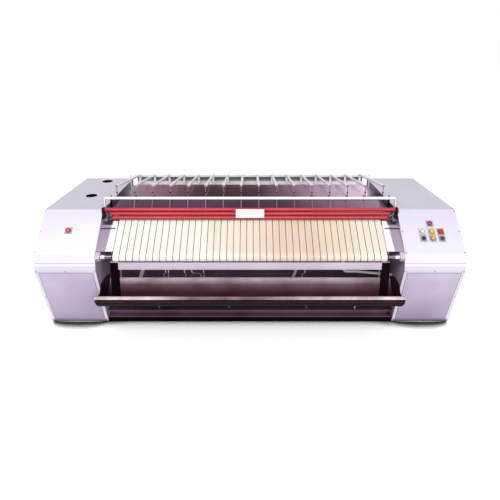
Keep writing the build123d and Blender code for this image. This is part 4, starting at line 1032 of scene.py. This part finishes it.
# %% [markdown]
# ## Folded sheet, beams, bars and brackets
#
# The rest of what shows is bent, welded or machined metal. Its shape is already in the solids, but
# a real edge is never sharp: it is deburred and the paint rounds it. So each of these pieces is a
# copy of its solid with its loose triangles merged and its edges eased, which gives every corner a
# thin line of light.

# %% Eased copies
eased = [
    ("outer_panels", "outer_sheets", 0.0008, cabinet_paint, "cabinet_paint"),
    ("rear_panels", "rear_sheets", 0.0008, cabinet_paint, "cabinet_paint"),
    ("left_side_frame", "left_frame_plate", 0.0015, side_paint, "frame_paint"),
    ("right_side_frame", "right_frame_plate", 0.0015, side_paint, "frame_paint"),
    ("cross_beams", "floor_beams", 0.0015, beam_paint, "frame_paint"),
    ("base_frames", "base_tubes", 0.0020, frame_paint, "frame_paint"),
    ("chest_supports", "chest_shelves", 0.0010, frame_paint, "black_paint"),
    ("feed_bed", "table_bed", 0.0006, bed_paint, "black_paint"),
    ("apron_plates", "apron_sheets", 0.0007, apron_paint, "cabinet_paint"),
    ("front_rail", "folded_rail", 0.0008, rail_paint, "cabinet_paint"),
    ("feed_brackets", "feed_bearings", 0.0012, bearing_paint, "black_paint"),
    ("guard_brackets", "guard_lugs", 0.0012, lug_paint, "black_paint"),
    ("guard_plate", "blank_plate", 0.0005, white_paint, "white_paint"),
    ("top_bar", "white_top_bar", 0.0012, white_paint, "white_paint"),
    ("rear_rack", "rack_rail", 0.0012, grey_paint, "grey_paint"),
    ("rack_arms", "rack_arm_bars", 0.0010, white_paint, "white_paint"),
    ("rear_deflector", "deflector_sheet", 0.0006, deflector_paint, "grey_paint"),
    ("finger_guard", "red_guard_tubes", 0.0008, red_paint, "red_paint"),
    ("tape_rod", "tape_rod_and_pulleys", 0.0008, black_paint, "black_paint"),
]
for node, name, bevel, material, slot in eased:
    body = "guard" if node in ("finger_guard", "guard_plate") else "frame"
    dressed(cast(node, bevel), name, body, material, slot, node)

# %% Feed brackets: light front blocks, dusky rear blocks, black posts and arms
BLOCK_REACH = 0.056
brackets = bpy.data.objects["feed_bearings"]
also(brackets, black_paint, rear_block_paint)
for face in brackets.data.polygons:
    near = [hypot(face.center.y - y, face.center.z - z) < BLOCK_REACH
            for y, z, _ in (FRONT_FEED, REAR_FEED)]
    face.material_index = 0 if near[0] else 2 if near[1] else 1

# %% Black skirt under the front beam and drip pan among the floor beams
SKIRT_TOP, SKIRT_BACK, PAN_LOW, PAN_HIGH, PAN_FRONT = 0.0535, -0.46, 0.058, 0.064, -0.385
beams = bpy.data.objects["floor_beams"]
also(beams, foot_rubber, pan_paint)
# Painted shade: the skirt below the front beam is painted black, as the shade under the beam; the
# drip pan gets the painted light of its own finish.
for face in beams.data.polygons:
    if face.center.z < SKIRT_TOP and face.center.y < SKIRT_BACK:
        face.material_index = 1
    elif PAN_LOW < face.center.z < PAN_HIGH and face.center.y > PAN_FRONT:
        face.material_index = 2

# %% Thin dark hangers with black knobs on the white arms
HANGER_FRONT, HANGER_TOP, KNOB_HEIGHT, KNOB_HALF = -0.28, 1.435, 1.381, 0.0075
arms = bpy.data.objects["rack_arm_bars"]
also(arms, hanger_paint, black_paint)
for face in arms.data.polygons:
    if face.center.y < HANGER_FRONT and face.center.z < HANGER_TOP:
        face.material_index = 2 if abs(face.center.z - KNOB_HEIGHT) < KNOB_HALF else 1

# %% [markdown]
# ## Finishes for the solids that stay
#
# The other solids already have the right shape. Each keeps its mesh and gets its finish here.

# %% Finishes by node
kept = [
    (frame_paint, ["bridge_plate", "rear_feed_roller"]),
    (black_paint, ["exhaust_collars", "drive_chain"]),
    (lagged_steel, ["front_feed_roller"]),
    (bright_steel, ["drive_sprocket", "front_roll_sprocket", "rear_roll_sprocket",
                    "front_roll_core", "rear_roll_core"]),
    (chest_iron, ["front_chest", "rear_chest", "roll_bearings"]),
    (motor_paint, ["gear_motor", "feed_gear_motor"]),
    (hose_white, ["steam_pipes"]),
    (strap_paint, ["trough_struts"]),
    (cable_sheath, ["cable_runs"]),
    (foot_rubber, ["levelling_feet"]),
    (screw_steel, ["panel_screws"]),
]
for material, names in kept:
    for name in names:
        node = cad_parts[name]
        node.data.materials.clear()
        node.data.materials.append(material)
        smoothed(node, 0.5)
print(sum(len(names) for _, names in kept), "solids finished")
